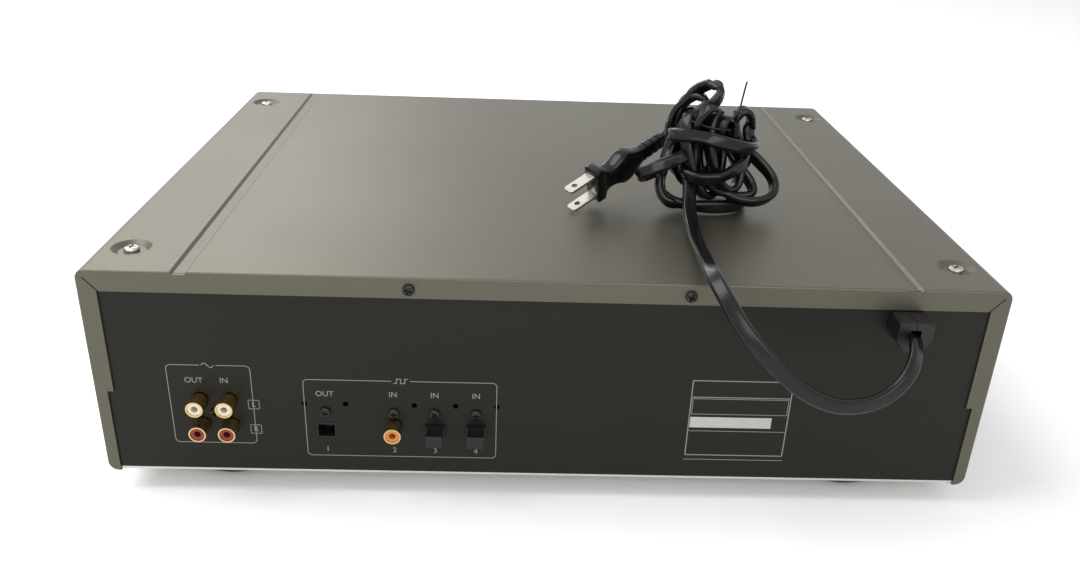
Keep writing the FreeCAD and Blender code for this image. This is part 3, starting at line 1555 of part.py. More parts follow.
def cartridge_holder():
    """A sheet tray that takes the cartridge, with openings for the drive below and the head above."""
    half = "Sizes.holder_width / 2"
    sheet = "Sizes.holder_sheet"
    past = "Sizes.cut_margin"
    y = holder_span()
    low = "Places.holder_low"
    top = "Places.holder_top"
    behind = f"{y[1]} + {past}"
    whole = box("holder_whole", (f"-({half})", half), y, (low, top))
    cavity = box("holder_cavity", around(0, "Sizes.cartridge_gap_width / 2"),
                 (f"{y[0]} - {past}", f"{y[1]} - {sheet}"),
                 around("Places.slot_z", "Sizes.cartridge_gap_height / 2"))
    below = box("holder_low_window", around(0, "Sizes.low_window_half"),
                ("Places.spindle_y - Sizes.low_window_front", behind), (f"{low} - {past}", f"{low} + {sheet}"))
    above = box("holder_top_window", around(0, "Sizes.top_window_half"),
                ("Places.spindle_y - Sizes.top_window_front", behind), (f"{top} - {sheet}", f"{top} + {past}"))
    gate = box("holder_rear_gate", around(0, "Sizes.top_window_half"), (f"{y[1]} - {sheet} - {past}", behind),
               (f"{low} - {past}", f"{top} + {past}"))
    tray = cut("holder_tray", whole, cavity, below, above, gate)
    reach = half, f"{half} + Sizes.guide_pin_length"
    pins = [rod("holder_pin", "x", (at, "Places.slot_z"), reach, "Sizes.guide_pin_radius")
            for at in guide_pin_places()]
    return fuse("cartridge_holder", tray, *pins)


def load_slider():
    """The cam plate beside the holder: two sloping slots, and a rack along its top edge."""
    top = "Places.holder_top"
    slope = "Sizes.holder_rise / Sizes.cam_travel"
    half_high = f"(Sizes.guide_pin_radius + Sizes.slot_clearance) * sqrt(1 + ({slope}) ^ 2)"
    overrun = "Sizes.slot_overrun"
    near_z = around(f"Places.slot_z + {overrun} * {slope}", half_high)
    far_z = around(f"Places.slot_z - Sizes.holder_rise - {overrun} * {slope}", half_high)
    slots = []
    for start in guide_pin_places():
        near = f"{start} + {overrun}"
        far = f"{start} - Sizes.cam_travel - {overrun}"
        slots.append([(far, far_z[0]), (near, near_z[0]), (near, near_z[1]), (far, far_z[1])])
    low = "Places.plate_top + Sizes.side_gap"
    x = "Places.cam_x", "Places.cam_x + Sizes.cam_sheet"
    outline = rectangle(around("Places.spindle_y", "Sizes.cam_half"), (low, f"{top} - Sizes.gear_tooth"))
    plate = prism("slider_plate", "x", x, outline, slots)
    pitch = f"2 * pi * Sizes.gear_radius / {GEAR_TEETH}"
    root_z = f"{top} - 2 * Sizes.gear_tooth"
    teeth = []
    for number in range(-RACK_HALF_TEETH, RACK_HALF_TEETH + 1):
        middle = f"Places.spindle_y + {number} * {pitch}"
        root = around(middle, f"{pitch} * {ROOT_SHARE}")
        tip = around(middle, f"{pitch} * {TIP_SHARE}")
        outline = [(root[0], root_z), (root[1], root_z), (tip[1], top), (tip[0], top)]
        teeth.append(prism("rack_tooth", "x", x, outline))
    return fuse("load_slider", plate, *teeth)


def loading_gear():
    """A toothed gear on the loading motor's shaft; its tips pass just over the slider's rack."""
    root = "Sizes.gear_radius - Sizes.gear_tooth"
    tip = "Sizes.gear_radius"
    corners = (-ROOT_SHARE, root), (-TIP_SHARE, tip), (TIP_SHARE, tip), (ROOT_SHARE, root)
    outline = []
    for number in range(GEAR_TEETH):
        for share, radius in corners:
            turn = 360 * (number + share) / GEAR_TEETH
            outline.append((f"({radius}) * cos({turn})", f"({radius}) * sin({turn})"))
    x = "Places.cam_x", "Places.cam_x + Sizes.cam_sheet + Sizes.gear_overhang"
    bore = "Sizes.small_shaft_radius + Sizes.rod_clearance"
    gear = prism("loading_gear", "x", x, outline, rings=[(0, 0, bore)])
    put(gear, y="Places.spindle_y", z="Places.gear_z")
    return gear


# Cord

def cord_radius():
    return (value("Sizes.cord_width") + value("Sizes.cord_thickness")) / 4


def rounded_path(points):
    """Straight runs joined by tangent arcs, each as large as its two runs allow."""
    spots = [Vector(*point) for point in points]
    edges = []
    start = spots[0]
    radii = []
    for before, spot, after in zip(spots, spots[1:], spots[2:]):
        turn = (spot - before).getAngle(after - spot)
        run = min((spot - before).Length, (after - spot).Length)
        radius = CORNER_SHARE * run / math.tan(turn / 2)
        first, middle, last = corner_ends(before, spot, after, radius)
        edges.append(Part.LineSegment(start, first).toShape())
        edges.append(Part.Arc(first, middle, last).toShape())
        radii.append(round(radius, 1))
        start = last
    edges.append(Part.LineSegment(start, spots[-1]).toShape())
    return Part.Wire(edges), radii


def cord_tube(name, points, radius):
    path, radii = rounded_path(points)
    circle = Part.Circle(Vector(*points[0]), Vector(*points[1]) - Vector(*points[0]), radius)
    shape = path.makePipeShell([Part.Wire(circle.toShape())], True, False)
    expected = math.pi * radius ** 2 * path.Length
    print(f"{name}: length {path.Length:.1f}, radii {radii}, volume {shape.Volume / expected:.4f} of expected")
    item = document.addObject("Part::Feature", name)
    item.Shape = shape
    return item


def cord_bundle():
    """The hank's outer shape, standing on the cover."""
    sections = []
    for rise, x, y, half_x, half_y in HANK_LEVELS:
        section = document.addObject("Part::Ellipse", "hank_section")
        bind(section, MajorRadius=half_x, MinorRadius=half_y)
        put(section, x=x, y=y, z=f"Places.case_top + {rise}")
        sections.append(section)
    hank = document.addObject("Part::Loft", "cord_bundle")
    hank.Sections = sections
    hank.Solid = True
    return hank


def turn_to_plug(item):
    """Swings a piece from its own axes, +X out of the plug's face, to where the plug lies."""
    item.Placement = Placement(Vector(*PLUG_FACE), Rotation(*PLUG_TURN))
    return item


def plug_body():
    """A moulded plug: a face plate, a waist, a belly and a ribbed relief round the cord."""
    back = "-Sizes.plug_length"
    profile = [
        (0, "Sizes.plug_face_half", "Sizes.plug_edge_round"),
        ("-Sizes.plug_plate", "Sizes.plug_face_half", "Sizes.plug_plate_round"),
        ("-Sizes.plug_waist_reach", "Sizes.plug_waist_half", "Sizes.plug_waist_round"),
        ("-Sizes.plug_belly_reach", "Sizes.plug_belly_half", "Sizes.plug_belly_round"),
        (back, "Sizes.plug_back_half", "Sizes.plug_back_round"),
    ]
    outline = profile + [(x, f"-{half}", rounding) for x, half, rounding in reversed(profile)]
    body = prism("plug_block", "y", around(0, "Sizes.plug_thickness / 2"), outline)
    relief_half = "Sizes.cord_thickness / 2 + Sizes.plug_relief_wall"
    relief_high = "Sizes.cord_width / 2 + Sizes.plug_relief_cover"
    end = f"{back} - Sizes.plug_relief_length"
    relief = box("plug_relief", (end, back), around(0, relief_half), around(0, relief_high))
    past = "Sizes.cut_margin"
    grooves = []
    for number in range(RELIEF_GROOVES):
        x = f"{back} - Sizes.plug_groove_start - {number} * Sizes.plug_groove_pitch"
        span = f"{x} - Sizes.plug_groove_width", x
        for side in BOTH_SIDES:
            depths = f"{relief_high} - Sizes.plug_groove_depth", f"{relief_high} + {past}"
            z = sorted((f"{side} * ({depth})" for depth in depths), key=value)
            grooves.append(box("relief_groove", span, around(0, f"{relief_half} + {past}"), z))
    return turn_to_plug(cut("plug_body", fuse("plug_whole", body, relief), *grooves))


def plug_blades():
    half = "Sizes.blade_width / 2"
    outline = [
        (0, f"-({half})"),
        ("Sizes.blade_length", f"-({half})", "Sizes.blade_round"),
        ("Sizes.blade_length", half, "Sizes.blade_round"),
        (0, half),
    ]
    made = []
    for side in BOTH_SIDES:
        z = around(f"{side} * Sizes.blade_pitch / 2", "Sizes.blade_sheet / 2")
        hole = ("Sizes.blade_hole_reach", 0, "Sizes.blade_hole")
        made.append(prism("blade", "z", z, outline, rings=[hole]))
    return turn_to_plug(group("plug_blades", *made))


# The whole deck

sizes = make_sheet("Sizes", SIZES)
places = make_sheet("Places", PLACES, formula=True)
document.recompute()

KEY = "Sizes.button_width", "Sizes.button_height"
first_cap, second_cap = optical_in_places()
white_outer, white_inner, red_outer, red_inner, coaxial_jack = jack_places()

subparts = [
    top_cover(),
    cover_top_screws(),
    cover_rear_screws(),
    rear_panel(),
    chassis_base(),
    foot_shells(),
    foot_pads(),
    rca_blocks(),
    rca_shells(),
    insulators("rca_insulators_white", (white_outer, white_inner)),
    insulators("rca_insulators_red", (red_outer, red_inner)),
    insulators("coax_insulator", (coaxial_jack,)),
    optical_out_socket(),
    optical_in_sockets(),
    optical_cap("optical_cap_1", first_cap),
    optical_cap("optical_cap_2", second_cap),
    jack_screws(),
    strain_relief(),
    front_fascia(),
    slot_flap(),
    display_window(),
    display_module(),
    front_board(),
    button("power_button", POWER_BUTTON, "Sizes.power_width", "Sizes.power_height"),
    *(button(name, at, *KEY) for name, at in TRANSPORT_BUTTONS.items()),
    knob("track_knob", TRACK_KNOB, "Sizes.track_knob_radius", "Sizes.knob_reach"),
    knob("record_level_knob", RECORD_KNOB, "Sizes.record_knob_radius", "Sizes.knob_reach"),
    knob("phones_level_knob", PHONES_KNOB, "Sizes.phones_knob_radius", "Sizes.phones_knob_reach"),
    phones_jack(),
    transformer_core(),
    transformer_windings(),
    transformer_bracket(),
    circuit_board("main_board", main_board_spans()),
    circuit_board("power_board", power_board_spans()),
    board_chips(),
    capacitors(),
    heat_sink(),
    drive_bracket(),
    drive_plate(),
    guide_rods(),
    spindle_motor(),
    turntable(),
    drive_motors(),
    lead_screw(),
    pickup_sled(),
    head_arm(),
    cartridge_holder(),
    load_slider(),
    loading_gear(),
    cord_tube("cord_lead", LEAD_ROUTE, cord_radius()),
    cord_bundle(),
    cord_tube("cord_tail", TAIL_ROUTE, cord_radius()),
    plug_body(),
    plug_blades(),
    cord_tube("cord_tie", TIE_ROUTE, value("Sizes.tie_wire")),
]
document.recompute()

for item in document.Objects:
    if "Invalid" in item.State or "Error" in item.State:
        raise RuntimeError(f"{item.Label} failed: {item.State}")
for subpart in subparts:
    if subpart.Shape.isNull() or not subpart.Shape.isValid():
        raise RuntimeError(f"{subpart.Label} has no valid shape")

os.makedirs("parts", exist_ok=True)
for subpart in subparts:
    subpart.Shape.exportStep(f"parts/{subpart.Label}.step")
print(f"{len(subparts)} sub-parts written")
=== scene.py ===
import json
import math

import bmesh
import bpy
from mathutils import Matrix, Vector


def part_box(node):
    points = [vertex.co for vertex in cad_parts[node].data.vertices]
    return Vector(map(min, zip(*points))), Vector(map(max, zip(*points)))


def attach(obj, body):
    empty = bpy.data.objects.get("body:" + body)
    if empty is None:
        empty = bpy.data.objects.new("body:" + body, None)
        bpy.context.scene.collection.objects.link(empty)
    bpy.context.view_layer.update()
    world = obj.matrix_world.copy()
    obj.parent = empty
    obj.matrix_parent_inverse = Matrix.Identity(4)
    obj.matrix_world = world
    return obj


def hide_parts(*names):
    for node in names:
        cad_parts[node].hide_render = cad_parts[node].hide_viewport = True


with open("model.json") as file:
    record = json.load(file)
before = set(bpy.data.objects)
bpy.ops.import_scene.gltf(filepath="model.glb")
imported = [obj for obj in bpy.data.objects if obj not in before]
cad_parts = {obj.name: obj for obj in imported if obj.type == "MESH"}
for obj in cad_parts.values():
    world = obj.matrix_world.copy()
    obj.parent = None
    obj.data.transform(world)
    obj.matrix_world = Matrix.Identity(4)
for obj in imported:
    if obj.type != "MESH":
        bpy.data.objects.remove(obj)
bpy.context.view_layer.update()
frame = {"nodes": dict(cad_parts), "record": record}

# Sizes are in metres; routes, sections and prints are written in millimetres and scaled by MM
MM = 0.001
DECK = "deck"
NODES = frame["nodes"]
# The rear panel's outer plane, the fascia's outer plane and the cover's top
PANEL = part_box("rear_panel")[1].y
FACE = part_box("front_fascia")[0].y
TOP = 0.122
# Points closer than this are one point, and places are compared to so many digits
SAME_POINT = 1e-6
PLACE_DIGITS = 4


# Camera, floor and light

CAMERA_LENS = 32.391
CAMERA_CLIP = 0.01
CAMERA_PLACE = (0.0195126, 0.5763808, 0.3085900)
CAMERA_TURN = (1.1312868, -0.0354657, 3.1225095)
# Name, place, target, width, height and power of each lamp
LAMPS = (
    ("key", (1.1, 0.2, 1.5), (0.1, 0, 0.1), 1.0, 1.4, 21),
    ("back", (0.90, -1.5, 1.3), (0, 0, 0.1), 1.4, 0.9, 16),
    ("fill", (-0.3, 1.9, 1.1), (0, 0, 0.06), 2.0, 1.0, 18),
)
# The world that lights dull surfaces, and the white one that the camera, gloss and glass see
LIT_WORLD = ((0.97, 0.98, 1, 1), 0.80)
SEEN_WORLD = ((1, 1, 1, 1), 1.0)
FLOOR_HALF = 3.0


def camera():
    data = bpy.data.cameras.new("camera")
    data.lens = CAMERA_LENS
    data.clip_start = CAMERA_CLIP
    eye = bpy.data.objects.new("camera", data)
    eye.location = CAMERA_PLACE
    eye.rotation_euler = CAMERA_TURN
    bpy.context.collection.objects.link(eye)
    bpy.context.scene.camera = eye


def area_light(name, at, target, width, height, power):
    data = bpy.data.lights.new(name, "AREA")
    data.shape = "RECTANGLE"
    data.size = width
    data.size_y = height
    data.energy = power
    lamp = bpy.data.objects.new(name, data)
    lamp.location = at
    lamp.rotation_euler = (Vector(target) - Vector(at)).to_track_quat("-Z", "Y").to_euler()
    bpy.context.collection.objects.link(lamp)


def surroundings():
    world = bpy.data.worlds.new("studio")
    bpy.context.scene.world = world
    world.use_nodes = True
    nodes = world.node_tree.nodes
    links = world.node_tree.links
    nodes.clear()
    ray = nodes.new("ShaderNodeLightPath")
    mix = nodes.new("ShaderNodeMixShader")
    out = nodes.new("ShaderNodeOutputWorld")
    white_for = ray.outputs["Is Camera Ray"]
    for kind in ("Is Glossy Ray", "Is Transmission Ray"):
        either = nodes.new("ShaderNodeMath")
        either.operation = "MAXIMUM"
        links.new(white_for, either.inputs[0])
        links.new(ray.outputs[kind], either.inputs[1])
        white_for = either.outputs[0]
    links.new(white_for, mix.inputs[0])
    for socket, (colour, strength) in enumerate((LIT_WORLD, SEEN_WORLD), start=1):
        sky = nodes.new("ShaderNodeBackground")
        sky.inputs["Color"].default_value = colour
        sky.inputs["Strength"].default_value = strength
        links.new(sky.outputs[0], mix.inputs[socket])
    links.new(mix.outputs[0], out.inputs["Surface"])

    mesh = bpy.data.meshes.new("floor")
    corners = [(-FLOOR_HALF, -FLOOR_HALF, 0), (FLOOR_HALF, -FLOOR_HALF, 0),
               (FLOOR_HALF, FLOOR_HALF, 0), (-FLOOR_HALF, FLOOR_HALF, 0)]
    mesh.from_pydata(corners, [], [(0, 1, 2, 3)])
    floor = bpy.data.objects.new("floor", mesh)
    bpy.context.collection.objects.link(floor)
    mesh.materials.append(FINISHES["floor_paper"])

    for lamp in LAMPS:
        area_light(*lamp)


# Materials

MOTTLE_DETAIL = 5
BUMP_DETAIL = 3
BUMP_HEIGHT = 0.0002
# Flecks are this much lighter, and come in where the fine noise lies between the two values
FLECK_GAIN = 1.9
FLECK_FROM = 0.55
FLECK_TO = 0.75
# Roughness varies between these shares of its value
SMOOTHER = 0.85
ROUGHER = 1.15
LEAST_ROUGHNESS = 0.02
COAT_ROUGHNESS = 0.15
BRUSHED = (1, 30, 1)
ROLLED = (1, 1, 6)
LOOKS = {
    "cover_paint": dict(colour=(0.100, 0.0945, 0.0712), rough=0.42, metal=0.75, mottle=0.03, mottle_scale=9,
                        bump=0.35, bump_scale=2600, fleck=0.35),
    "panel_paint": dict(colour=(0.0105, 0.0103, 0.0074), rough=0.40, metal=0.35, mottle=0.06, bump=0.25,
                        specular=0.25, bump_scale=2400, fleck=0.25),
    "zinc_steel": dict(colour=(0.55, 0.55, 0.52), rough=0.38, metal=0.9, mottle=0.08, mottle_scale=60,
                       stretch=BRUSHED),
    "plated_screw": dict(colour=(0.50, 0.48, 0.44), rough=0.28, metal=1.0, mottle=0.08, mottle_scale=400),
    "black_steel": dict(colour=(0.018, 0.018, 0.018), rough=0.32, metal=0.6, mottle=0.2, mottle_scale=500),
    "foot_plastic": dict(colour=(0.03, 0.03, 0.03), rough=0.5, bump=0.2),
    "pad_rubber": dict(colour=(0.025, 0.025, 0.025), rough=0.8, bump=0.4, bump_scale=1500),
    "black_plastic": dict(colour=(0.006, 0.006, 0.006), rough=0.34, mottle=0.15, bump=0.15, specular=0.35),
    "gold_plate": dict(colour=(0.62, 0.43, 0.19), rough=0.26, metal=1.0, mottle=0.06, mottle_scale=300, bump=0.03),
    "white_plastic": dict(colour=(0.62, 0.56, 0.43), rough=0.3, mottle=0.03, bump=0.05),
    "red_plastic": dict(colour=(0.16, 0.016, 0.012), rough=0.3, mottle=0.08, bump=0.05),
    "orange_plastic": dict(colour=(0.52, 0.16, 0.035), rough=0.3, mottle=0.06, bump=0.05),
    "fascia_plastic": dict(colour=(0.036, 0.034, 0.030), rough=0.38, metal=0.2, mottle=0.05, bump=0.3,
                           bump_scale=2000, fleck=0.2),
    "smoked_window": dict(colour=(0.008, 0.008, 0.009), rough=0.08, mottle=0.1, bump=0.01, coat=0.6),
    "display_glass": dict(colour=(0.02, 0.03, 0.03), rough=0.1, bump=0.01),
    "board_laminate": dict(colour=(0.30, 0.20, 0.08), rough=0.5, mottle=0.12, mottle_scale=80),
    "core_steel": dict(colour=(0.28, 0.28, 0.29), rough=0.45, metal=0.8, stretch=BRUSHED),
    "winding_tape": dict(colour=(0.60, 0.45, 0.10), rough=0.4, mottle=0.1),
    "sink_aluminium": dict(colour=(0.6, 0.6, 0.61), rough=0.35, metal=0.9, stretch=BRUSHED),
    "cord_vinyl": dict(colour=(0.004, 0.004, 0.004), rough=0.22, specular=0.3, mottle=0.2, mottle_scale=90,
                       bump=0.08, bump_scale=500),
    "blade_nickel": dict(colour=(0.66, 0.64, 0.59), rough=0.28, metal=1.0, mottle=0.12, mottle_scale=220,
                         bump=0.1, bump_scale=1200, stretch=ROLLED),
    "panel_print": dict(colour=(0.20, 0.20, 0.18), rough=0.55, mottle=0.05, mottle_scale=200),
    "label_print": dict(colour=(0.38, 0.38, 0.34), rough=0.5, mottle=0.05, mottle_scale=150),
    "floor_paper": dict(colour=(0.93, 0.93, 0.92), rough=0.9, mottle=0.01, bump=0.02),
}


def finish(name, colour, rough, metal=0.0, mottle=0.05, mottle_scale=25.0, bump=0.05, bump_scale=900.0,
           stretch=(1, 1, 1), coat=0.0, specular=0.5, fleck=0.0):
    """A surface with mottled colour, uneven gloss and a fine bump; scales are per metre of its object."""
    made = bpy.data.materials.new(name)
    made.use_nodes = True
    nodes = made.node_tree.nodes
    links = made.node_tree.links
    shader = nodes["Principled BSDF"]
    place = nodes.new("ShaderNodeTexCoord")
    scaled = nodes.new("ShaderNodeMapping")
    scaled.inputs["Scale"].default_value = stretch
    links.new(place.outputs["Object"], scaled.inputs["Vector"])

    def noise(scale, detail):
        made_noise = nodes.new("ShaderNodeTexNoise")
        made_noise.inputs["Scale"].default_value = scale
        made_noise.inputs["Detail"].default_value = detail
        links.new(scaled.outputs[0], made_noise.inputs["Vector"])
        return made_noise.outputs["Fac"]

    def shade(gain):
        return (*[min(1, part * gain) for part in colour], 1)

    broad = noise(mottle_scale, MOTTLE_DETAIL)
    fine = noise(bump_scale, BUMP_DETAIL)
    tint = nodes.new("ShaderNodeMix")
    tint.data_type = "RGBA"
    tint.inputs["A"].default_value = shade(1 - mottle)
    tint.inputs["B"].default_value = shade(1 + mottle)
    links.new(broad, tint.inputs["Factor"])
    tinted = tint.outputs["Result"]
    if fleck:
        spots = nodes.new("ShaderNodeMix")
        spots.data_type = "RGBA"
        spots.inputs["B"].default_value = shade(FLECK_GAIN)
        amount = nodes.new("ShaderNodeMapRange")
        amount.inputs["From Min"].default_value = FLECK_FROM
        amount.inputs["From Max"].default_value = FLECK_TO
        amount.inputs["To Max"].default_value = fleck
        links.new(fine, amount.inputs["Value"])
        links.new(tinted, spots.inputs["A"])
        links.new(amount.outputs[0], spots.inputs["Factor"])
        tinted = spots.outputs["Result"]
    links.new(tinted, shader.inputs["Base Color"])

    gloss = nodes.new("ShaderNodeMapRange")
    gloss.inputs["To Min"].default_value = max(LEAST_ROUGHNESS, rough * SMOOTHER)
    gloss.inputs["To Max"].default_value = min(1.0, rough * ROUGHER)
    links.new(broad, gloss.inputs["Value"])
    links.new(gloss.outputs[0], shader.inputs["Roughness"])
    relief = nodes.new("ShaderNodeBump")
    relief.inputs["Strength"].default_value = bump
    relief.inputs["Distance"].default_value = BUMP_HEIGHT
    links.new(fine, relief.inputs["Height"])
    links.new(relief.outputs[0], shader.inputs["Normal"])
    shader.inputs["Metallic"].default_value = metal
    shader.inputs["Coat Weight"].default_value = coat
    shader.inputs["Coat Roughness"].default_value = COAT_ROUGHNESS
    shader.inputs["Specular IOR Level"].default_value = specular
    return made


# Mesh helpers

def piece(name, mesh, slot, body=DECK, smooth=True):
    made = bpy.data.objects.new(name, mesh)
    bpy.context.collection.objects.link(made)
    mesh.materials.clear()
    mesh.materials.append(FINISHES[slot])
    for face in mesh.polygons:
        face.use_smooth = smooth
    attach(made, body)
    return made


def finished(name, shaped):
    """Turns a bmesh into a mesh with outward normals."""
    bmesh.ops.recalc_face_normals(shaped, faces=shaped.faces)
    mesh = bpy.data.meshes.new(name)
    shaped.to_mesh(mesh)
    shaped.free()
    return mesh


def sharpen(mesh, degrees):
    mesh.set_sharp_from_angle(angle=math.radians(degrees))


def skin(name, rings):
    """A closed surface through rings that have the same number of points."""
    shaped = bmesh.new()
    loops = [[shaped.verts.new(point) for point in ring] for ring in rings]
    count = len(loops[0])
    for near, far in zip(loops, loops[1:]):
        for index in range(count):
            after = (index + 1) % count
            shaped.faces.new((near[index], near[after], far[after], far[index]))
    shaped.faces.new(loops[0])
    shaped.faces.new(loops[-1])
    return finished(name, shaped)


def mesh_of(name, data):
    """The mesh of a curve or letters."""
    holder = bpy.data.objects.new(name, data)
    bpy.context.collection.objects.link(holder)
    bpy.context.view_layer.update()
    mesh = bpy.data.meshes.new_from_object(holder)
    bpy.data.objects.remove(holder)
    return mesh


# Cord

LEAD_ROUTE = (
    (-168.5, 184.0, 103.5),
    (-165.5, 201.0, 99.5),
    (-148.0, 210.0, 83.0),
    (-118.0, 215.0, 84.0),
    (-86.0, 211.0, 112.0),
    (-71.0, 190.0, 134.0),
    (-72.0, 160.0, 131.0),
    (-74.0, 130.0, 125.6),
    (-75.0, 98.0, 126.5),
    (-77.0, 76.0, 140.0),
)
TAIL_ROUTE = (
    (-64.6, 44.3, 153.6),
    (-75.0, 37.5, 158.5),
    (-82.0, 46.0, 167.7),
    (-84.0, 58.0, 172.0),
)
# The turns inside the hank: x, y and the height above the cover
HANK_ROUTE = (
    # up the middle and round the big top loop
    (-78, 72, 34), (-78, 74, 50), (-83, 75, 58), (-87, 75, 62), (-90, 73, 67), (-87, 70, 70), (-84, 66, 69),
    (-79, 62, 65), (-73, 60, 59), (-69, 58, 52), (-66, 57, 44), (-68, 55, 30), (-71, 53, 18),
    # round the ring on the cover
    (-80, 48, 8), (-93, 47, 4.5), (-107, 52, 4.5), (-112, 64, 4.5), (-105, 75, 4.5), (-92, 79, 4.5),
    (-79, 77, 4.5), (-67, 74, 6), (-62, 66, 12), (-65, 60, 24),
    # the second top loop, inside the first
    (-72, 64, 40), (-77, 69, 51), (-81, 69, 55), (-84, 67, 59), (-81, 64, 62), (-77, 61, 61), (-73, 59, 56),
    (-71, 58, 50), (-71, 57, 40), (-76, 60, 26), (-84, 68, 16),
    # the large loop at the lower right
    (-92, 76, 16), (-101, 80, 10), (-114, 80, 8), (-125, 75, 11), (-125, 68, 19), (-115, 64, 28), (-105, 62, 37),
    # the loop that stands at the upper right
    (-101, 62, 47), (-102, 64, 54), (-107, 63, 55), (-111, 61, 49), (-109, 60, 42),
    # the upper wrap across the front, and behind
    (-112, 68, 36), (-108, 77, 37), (-99, 81, 40), (-88, 83, 43), (-78, 82, 45), (-69, 80, 45), (-65, 73, 43),
    (-68, 62, 40), (-78, 53, 36), (-92, 50, 33), (-103, 52, 31), (-110, 60, 30),
    # the lower wrap
    (-109, 70, 29), (-103, 77, 27), (-93, 83, 23), (-85, 85, 22), (-77, 82, 22), (-72, 74, 24), (-75, 69, 31),
    # the loop end beside the plug
    (-74, 77, 33), (-66, 79, 30), (-57, 81, 27), (-50, 79, 23), (-50, 73, 19), (-57, 67, 19), (-67, 62, 24),
    (-78, 58, 32), (-87, 58, 42),
    # down through the middle and a last loop at the lower right
    (-94, 62, 52), (-98, 60, 44), (-99, 58, 34), (-103, 62, 26), (-112, 66, 17), (-115, 71, 10), (-106, 73, 8),
    (-94, 68, 11), (-86, 62, 20), (-84, 60, 34), (-82, 58, 48), (-77, 57, 54), (-71, 60, 46),
    # the upright folds inside, from the plug's side to the far side
    (-67, 62, 32), (-63, 66, 22), (-61, 70, 15), (-63, 74, 8), (-69, 76, 4.5), (-77, 73, 5), (-82, 64, 14),
    (-81, 61, 34), (-79, 62, 48), (-75, 66, 54), (-73, 72, 46), (-75, 77, 30), (-83, 77, 11), (-92, 72, 8),
    (-96, 66, 26), (-93, 62, 46), (-91, 66, 55), (-87, 71, 55), (-85, 75, 44), (-88, 77, 28), (-97, 75, 12),
    (-106, 70, 14), (-106, 64, 34), (-98, 66, 46), (-94, 72, 54), (-90, 75, 48), (-91, 72, 32), (-86, 66, 16),
    (-77, 62, 18), (-76, 64, 34), (-80, 67, 47), (-84, 64, 53),
)
CORD_WIDTH = 7.4 * MM
CORD_THICKNESS = 4.4 * MM
SPLINE_STEPS = 8
CORD_SIDES = 24
# The groove between the two cores: its half width as a share of a core, and its depth
GROOVE_REACH = 0.22
GROOVE_DEPTH = 0.20
# The cord hangs behind the first plane; it lies on the cover below this rise and behind the second plane
BEHIND_DECK = 0.172
LYING_RISE = 0.012
LYING_FROM = 0.095
# How firmly the cord is held flat and turned to its bends, the weight of both, and the rounds it settles in
HELD_PULL = 0.2
BEND_PULL = 0.0025
PULL_WEIGHT = 3
SETTLING_ROUNDS = 150
LEAD_THIN_SIDE = (1, 0, 0)


def spline_points(name, route):
    """The points of a smooth spline whose control points are the route's."""
    data = bpy.data.curves.new(name, "CURVE")
    data.dimensions = "3D"
    data.resolution_u = SPLINE_STEPS
    line = data.splines.new("NURBS")
    line.points.add(len(route) - 1)
    for point, at in zip(line.points, route):
        point.co = (*(Vector(at) * MM), 1)
    line.order_u = 3
    line.use_endpoint_u = True
    mesh = mesh_of(name, data)
    points = [vertex.co.copy() for vertex in mesh.vertices]
    bpy.data.meshes.remove(mesh)
    return [point for index, point in enumerate(points)
            if index == 0 or (point - points[index - 1]).length > SAME_POINT]


def flat_section(across, thin):
    """Two round cores side by side, with a shallow groove between them."""
    core = CORD_THICKNESS / 2
    offset = CORD_WIDTH / 2 - core
    ring = []
    for index in range(CORD_SIDES):
        turn = math.tau * index / CORD_SIDES
        wide = math.cos(turn)
        side = 1 if wide >= 0 else -1
        flat = min(1.0, abs(wide) / GROOVE_REACH)
        shift = offset * side * flat
        depth = core * math.sin(turn) * (1 - GROOVE_DEPTH + GROOVE_DEPTH * flat)
        ring.append(across * (shift + core * wide) + thin * depth)
    return ring


def held_flat(point):
    """Which way the cord's thin side must face where it hangs behind the deck or lies on the cover."""
    if point.y > BEHIND_DECK:
        return Vector((0, 1, 0))
    if point.z - TOP < LYING_RISE and point.y > LYING_FROM:
        return Vector((0, 0, 1))
    return None


def flat_rings(points):
    """The cord's outline at each point, turned so that it bends over its thin side."""
    count = len(points)
    ways = []
    pulls = []
    for index, point in enumerate(points):
        before = points[max(index - 1, 0)]
        after = points[min(index + 1, count - 1)]
        ways.append((after - before).normalized())
        flat = held_flat(point)
        if flat is not None:
            pulls.append(flat * HELD_PULL)
        elif 0 < index < count - 1:
            span = (after - before).length / 2
            bend = ((after - point).normalized() - (point - before).normalized()) / span
            pulls.append(bend * BEND_PULL)
        else:
            pulls.append(Vector((0, 0, 0)))
    thins = []
    thin = Vector(LEAD_THIN_SIDE)
    for way, pull in zip(ways, pulls):
        thin = thin + (pull if pull.dot(thin) >= 0 else -pull)
        thin = (thin - way * thin.dot(way)).normalized()
        thins.append(thin)
    for _ in range(SETTLING_ROUNDS):
        settled = []
        for index, thin in enumerate(thins):
            mean = thins[max(index - 1, 0)] + thins[min(index + 1, count - 1)] + thin
            pull = pulls[index]
            mean += (pull if pull.dot(thin) >= 0 else -pull) * PULL_WEIGHT
            mean -= ways[index] * mean.dot(ways[index])
            settled.append(mean.normalized())
        thins = settled
    return [
        [point + spot for spot in flat_section(way.cross(thin), thin)]
        for point, way, thin in zip(points, ways, thins)
    ]


def mains_cord():
    lifted = tuple((x, y, TOP / MM + rise) for x, y, rise in HANK_ROUTE)
    path = spline_points("cord_line", LEAD_ROUTE + lifted + tuple(reversed(TAIL_ROUTE)))
    cord = piece("mains_cord", skin("mains_cord", flat_rings(path)), "cord_vinyl")
    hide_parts("cord_lead", "cord_bundle", "cord_tail")
    length = sum((after - before).length for before, after in zip(path, path[1:]))
    return cord, path, length


# Plug

